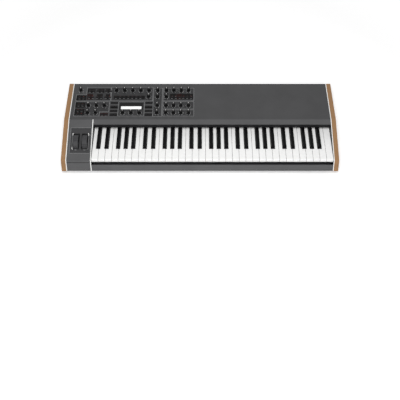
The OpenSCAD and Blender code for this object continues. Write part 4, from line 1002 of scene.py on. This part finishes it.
class SYNTH_OT_wheel_plate(bpy.types.Operator):
    """Adds the line around the wheel plate, the painted highlights along the wheels' slot edges, the marks by
    the wheels and the seam on the nose with its painted shade
    """
    bl_idname = "synth.wheel_plate"
    bl_label = "Wheel plate"

    # How far the plate reaches under the block around its opening
    FLANGE = 2 * MM
    # Each wheel with its outer side, left (-1) or right (1), and the ends of its edge that carry a painted
    # glint, rear (1) or front (-1)
    WHEELS = (("pitch_wheel", -1, (1, -1)), ("mod_wheel", 1, (1,)))
    # Thickness of the edges, and how far these painted highlights and their brighter glints are raised from
    # the deck
    EDGE_HEIGHT = 0.4 * MM
    EDGE_LIFT = 0.1 * MM
    GLINT_LIFT = 0.2 * MM
    # The mark in front of a wheel: half its width, and its front and back along the deck from the bend
    MARK_HALF = 3.5 * MM
    MARK_FRONT = -120 * MM
    MARK_BACK = -118.8 * MM
    MARK_CORNER = 0.4 * MM
    SEAM_CORNER = 0.2 * MM

    def outline(self, deck):
        """The line around the wheel plate's opening in the block, across and along the deck."""
        inset = self.FLANGE - sizes().frame_width
        near, far = (deck.inverted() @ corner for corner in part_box("wheel_plate"))
        return rectangle(near.x + inset, near.y + inset, far.x - inset, far.y - inset)

    def cut(self, piece, place, normal):
        """Takes away what lies behind a plane."""
        open_for_edit(piece)
        select_all()
        bpy.ops.mesh.bisect(plane_co=place, plane_no=normal, use_fill=True, clear_inner=True)
        close_edit()

    def edge(self, deck, node, side, width, end=0):
        """A painted highlight along the outer side of a wheel's slot, as a bracket, or its rear (1) or front
        (-1) end alone, as a brighter painted glint.
        """
        size = sizes()
        low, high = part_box(node)
        middle = deck.inverted() @ ((low + high) / 2)
        half_width, half_length = size.slot_width / 2, size.slot_length / 2
        corners = rectangle(
            middle.x - half_width, middle.y - half_length, middle.x + half_width, middle.y + half_length
        )
        bracket = ring(f"{node}_edge_{end}", corners, width, self.EDGE_HEIGHT, size.slot_corner)
        self.cut(bracket, (middle.x + side * (half_width - size.edge_return), 0, 0), (side, 0, 0))
        if end:
            self.cut(bracket, (0, middle.y + end * (half_length - size.end_length), 0), (0, end, 0))
        lift = self.GLINT_LIFT if end else self.EDGE_LIFT
        bracket.data.transform(Matrix.Translation((0, 0, lift)))
        return bracket

    def mark(self, node):
        low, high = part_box(node)
        across = (low.x + high.x) / 2 - PANEL_LEFT
        corners = rectangle(across - self.MARK_HALF, self.MARK_FRONT, across + self.MARK_HALF, self.MARK_BACK)
        return field(f"{node}_mark", corners, sizes().print_height, self.MARK_CORNER)

    def execute(self, context):
        size = sizes()
        ink = colours().ink
        deck, plate = deck_matrix("wheel_block"), deck_matrix("wheel_plate")
        line = ring("plate_line", self.outline(deck), size.frame_width, size.frame_height, size.frame_corner)
        on_case([line], "plate_line", ink_finish("Plate line", ink), deck)
        # The thin grey brackets beside the wheels are painted highlights along the rims of their slots
        edges = [self.edge(deck, node, side, size.edge_width) for node, side, ends in self.WHEELS]
        on_case(edges, "slot_edge_highlights", ink_finish("Slot edge highlight", ink), deck)
        # Their brighter ends are painted glints at the rims' corners
        painted_glint = coating("Painted glint", colours().pointer, roughness=0.25, variety=0.02)
        glints = [
            self.edge(deck, node, side, size.glint_width, end)
            for node, side, ends in self.WHEELS
            for end in ends
        ]
        on_case(glints, "slot_glints", painted_glint, deck)
        marks = [self.mark(node) for node, side, ends in self.WHEELS]
        on_case(marks, "wheel_marks", ink_finish("Mark ink", ink), plate)
        # The dark strip across the nose marks a seam, darkened as painted shade in its gap
        middle, half = -size.seam_drop, size.seam_width / 2
        corners = rectangle(0, middle - half, BLOCK_HIGH.x - BLOCK_LOW.x, middle + half)
        seam = field("nose_seam_shade", corners, size.print_height, self.SEAM_CORNER)
        dark = coating("Seam shade", srgb(16, 16, 17), roughness=0.7, shine=0.15)
        on_case([seam], "nose_seam_shade", dark, nose_matrix("wheel_block"))
        return {"FINISHED"}


class SYNTH_OT_rear_details(bpy.types.Operator):
    """Adds the cores and contacts of the round data sockets"""
    bl_idname = "synth.rear_details"
    bl_label = "Rear details"

    # The core ends inside its socket, with a rim around a shallow face
    CORE_END = 0.6 * MM
    CORE_RIM = 0.6 * MM
    CORE_SLOPE = 0.3 * MM
    CORE_EDGE = 0.15 * MM
    CORE_SIDES = 40
    # The contacts end inside the core, each with a wall around its bore
    PIN_END = 0.7 * MM
    PIN_WALL = 0.2 * MM
    PIN_BORE = 0.5 * MM
    PIN_SIDES = 16
    PIN_TURNS = [math.radians(45 * step) for step in range(-2, 3)]

    def core(self, name, radius, depth):
        core = add_disc(f"{name}_core", (0, 0, 0), radius, depth - self.CORE_END, self.CORE_SIDES)
        pick_faces(core, facing(UP))
        bpy.ops.mesh.inset(thickness=self.CORE_RIM)
        bpy.ops.mesh.inset(thickness=self.CORE_SLOPE, depth=-self.CORE_SLOPE)
        close_edit()
        apply_bevel(core, self.CORE_EDGE, angle=math.radians(50))
        return core

    def contact(self, turn, depth):
        size = sizes()
        place = Vector((math.sin(turn), math.cos(turn), 0)) * size.pin_circle
        pin = add_disc("contact", place, size.pin_radius, depth - self.PIN_END, self.PIN_SIDES)
        pick_faces(pin, facing(UP))
        bpy.ops.mesh.inset(thickness=self.PIN_WALL)
        extrude_up(-self.PIN_BORE)
        close_edit()
        return pin

    def execute(self, context):
        upright = Matrix.Rotation(math.radians(-90), 4, "X")
        cores, contacts = [], []
        for mount in frame["record"]["mounts"]:
            if not mount["name"].startswith("round_data"):
                continue
            depth = mount["dims"]["length_mm"] * MM
            radius = mount["dims"]["r_mm"] * MM - sizes().core_gap
            floor = Vector(mount["pos_m"]) - Vector((0, depth / 2, 0))
            core = self.core(mount["name"], radius, depth)
            pins = [self.contact(turn, depth) for turn in self.PIN_TURNS]
            for piece in (core, *pins):
                piece.data.transform(Matrix.Translation(floor) @ upright)
            cores.append(core)
            contacts.extend(pins)
        plastic = coating("Core plastic", srgb(26, 26, 28), roughness=0.5)
        on_case(cores, "data_cores", plastic)
        metal = coating("Contact metal", srgb(176, 172, 160), roughness=0.3, metal=1)
        on_case(contacts, "data_contacts", metal)
        return {"FINISHED"}


class SYNTH_OT_stage(bpy.types.Operator):
    """Sets the floor, the soft light and the camera"""
    bl_idname = "synth.stage"
    bl_label = "Stage"

    CAMERA_PLACE = (0, -1.5203, 1.8369)
    CAMERA_TILT = math.radians(34)
    LENS = 57.69
    SENSOR = 36
    FLOOR_SIZE = 60
    # Start and end of the floor's change to white, in metres, with its own light at both
    WHITENING = (0.9, 3, 0.34, 1)
    SKY_LIGHT = 0.2
    # The lights look at this place
    AIM = Vector((0, 0, 0.05))
    # Name, place, width and depth in metres and power in watts of each light
    LIGHTS = [
        ("Softbox above", (-0.05, -1.2, 2.25), (0.8, 1.2), 42.5),
        ("Softbox front", (-0.05, -2.1, 1.4), (1.6, 1.0), 12),
        ("Softbox behind", (0.2, 2.3, 1.5), (2.2, 1.0), 9),
    ]

    def show_to_direct_rays(self, tree, other, shown, output):
        """Shows one shader to the rays of the camera, of gloss and of glass, and another to all others."""
        path = tree.nodes.new("ShaderNodeLightPath")
        direct = path.outputs["Is Camera Ray"]
        for kind in ("Is Glossy Ray", "Is Transmission Ray"):
            direct = calculated(tree, "MAXIMUM", direct, path.outputs[kind])
        choice = tree.nodes.new("ShaderNodeMixShader")
        for source, target in zip((direct, other.outputs[0], shown.outputs[0]), choice.inputs):
            tree.links.new(source, target)
        tree.links.new(choice.outputs[0], tree.nodes[output].inputs["Surface"])

    def floor_material(self):
        """A pale floor that turns to the white of the background far from the object."""
        material, tree, shader, place = new_material("Studio floor")
        set_inputs(shader, {"Base Color": (*colours().floor, 1), "Roughness": 0.9})
        distance = tree.nodes.new("ShaderNodeVectorMath")
        distance.operation = "LENGTH"
        tree.links.new(place, distance.inputs[0])
        light = tree.nodes.new("ShaderNodeEmission")
        whitening = remapped(tree, distance.outputs["Value"], *self.WHITENING)
        tree.links.new(whitening, light.inputs["Strength"])
        lit = tree.nodes.new("ShaderNodeAddShader")
        tree.links.new(shader.outputs[0], lit.inputs[0])
        tree.links.new(light.outputs[0], lit.inputs[1])
        self.show_to_direct_rays(tree, shader, lit, "Material Output")
        return material

    def add_floor(self):
        deselect()
        bpy.ops.mesh.primitive_plane_add(size=self.FLOOR_SIZE, location=(0, 0, 0))
        floor = started("studio_floor")
        floor.data.materials.append(self.floor_material())

    def studio_world(self):
        """A soft even light, seen as a white background."""
        world = bpy.data.worlds.new("Studio")
        world.use_nodes = True
        tree = world.node_tree
        sky = tree.nodes["Background"]
        set_inputs(sky, {"Color": (1, 1, 1, 1), "Strength": self.SKY_LIGHT})
        white = tree.nodes.new("ShaderNodeBackground")
        set_inputs(white, {"Color": (1, 1, 1, 1)})
        self.show_to_direct_rays(tree, sky, white, "World Output")
        return world

    def placed(self, name, data, place, turn):
        holder = bpy.data.objects.new(name, data)
        holder.location = place
        holder.rotation_euler = turn
        bpy.context.scene.collection.objects.link(holder)
        return holder

    def add_light(self, name, place, size, power):
        lamp = bpy.data.lights.new(name, "AREA")
        lamp.shape = "RECTANGLE"
        lamp.size, lamp.size_y = size
        lamp.energy = power
        self.placed(name, lamp, place, (self.AIM - Vector(place)).to_track_quat("-Z", "Y").to_euler())

    def execute(self, context):
        scene = context.scene
        self.add_floor()
        scene.world = self.studio_world()
        for light in self.LIGHTS:
            self.add_light(*light)
        eye = bpy.data.cameras.new("Camera")
        eye.lens = self.LENS
        eye.sensor_width = self.SENSOR
        scene.camera = self.placed("Camera", eye, self.CAMERA_PLACE, (self.CAMERA_TILT, 0, 0))
        scene.view_settings.view_transform = "Standard"
        return {"FINISHED"}


OPERATORS = (
    SYNTH_OT_stage, SYNTH_OT_finishes, SYNTH_OT_section_lines, SYNTH_OT_button_fields, SYNTH_OT_button_bars,
    SYNTH_OT_knob_scales, SYNTH_OT_scale_digits, SYNTH_OT_knobs, SYNTH_OT_lamps, SYNTH_OT_display,
    SYNTH_OT_wheel_plate, SYNTH_OT_rear_details,
)


class SYNTH_PT_panel(bpy.types.Panel):
    """Lists the pieces and their sizes and colours"""
    bl_idname = "SYNTH_PT_panel"
    bl_label = "Synthesizer"
    bl_space_type = "VIEW_3D"
    bl_region_type = "UI"
    bl_category = "Synthesizer"

    def draw(self, context):
        for operator in OPERATORS:
            self.layout.operator(operator.bl_idname)
        for group in (context.scene.synth_sizes, context.scene.synth_colours):
            for name in group.__annotations__:
                self.layout.prop(group, name)


CLASSES = (SynthSizes, SynthColours, *OPERATORS, SYNTH_PT_panel)


def register():
    for item in CLASSES:
        bpy.utils.register_class(item)
    bpy.types.Scene.synth_sizes = bpy.props.PointerProperty(type=SynthSizes)
    bpy.types.Scene.synth_colours = bpy.props.PointerProperty(type=SynthColours)


def unregister():
    del bpy.types.Scene.synth_colours
    del bpy.types.Scene.synth_sizes
    for item in reversed(CLASSES):
        bpy.utils.unregister_class(item)


def main():
    register()
    for operator in OPERATORS:
        group, name = operator.bl_idname.split(".")
        getattr(getattr(bpy.ops, group), name)()


if __name__ == "__main__":
    main()
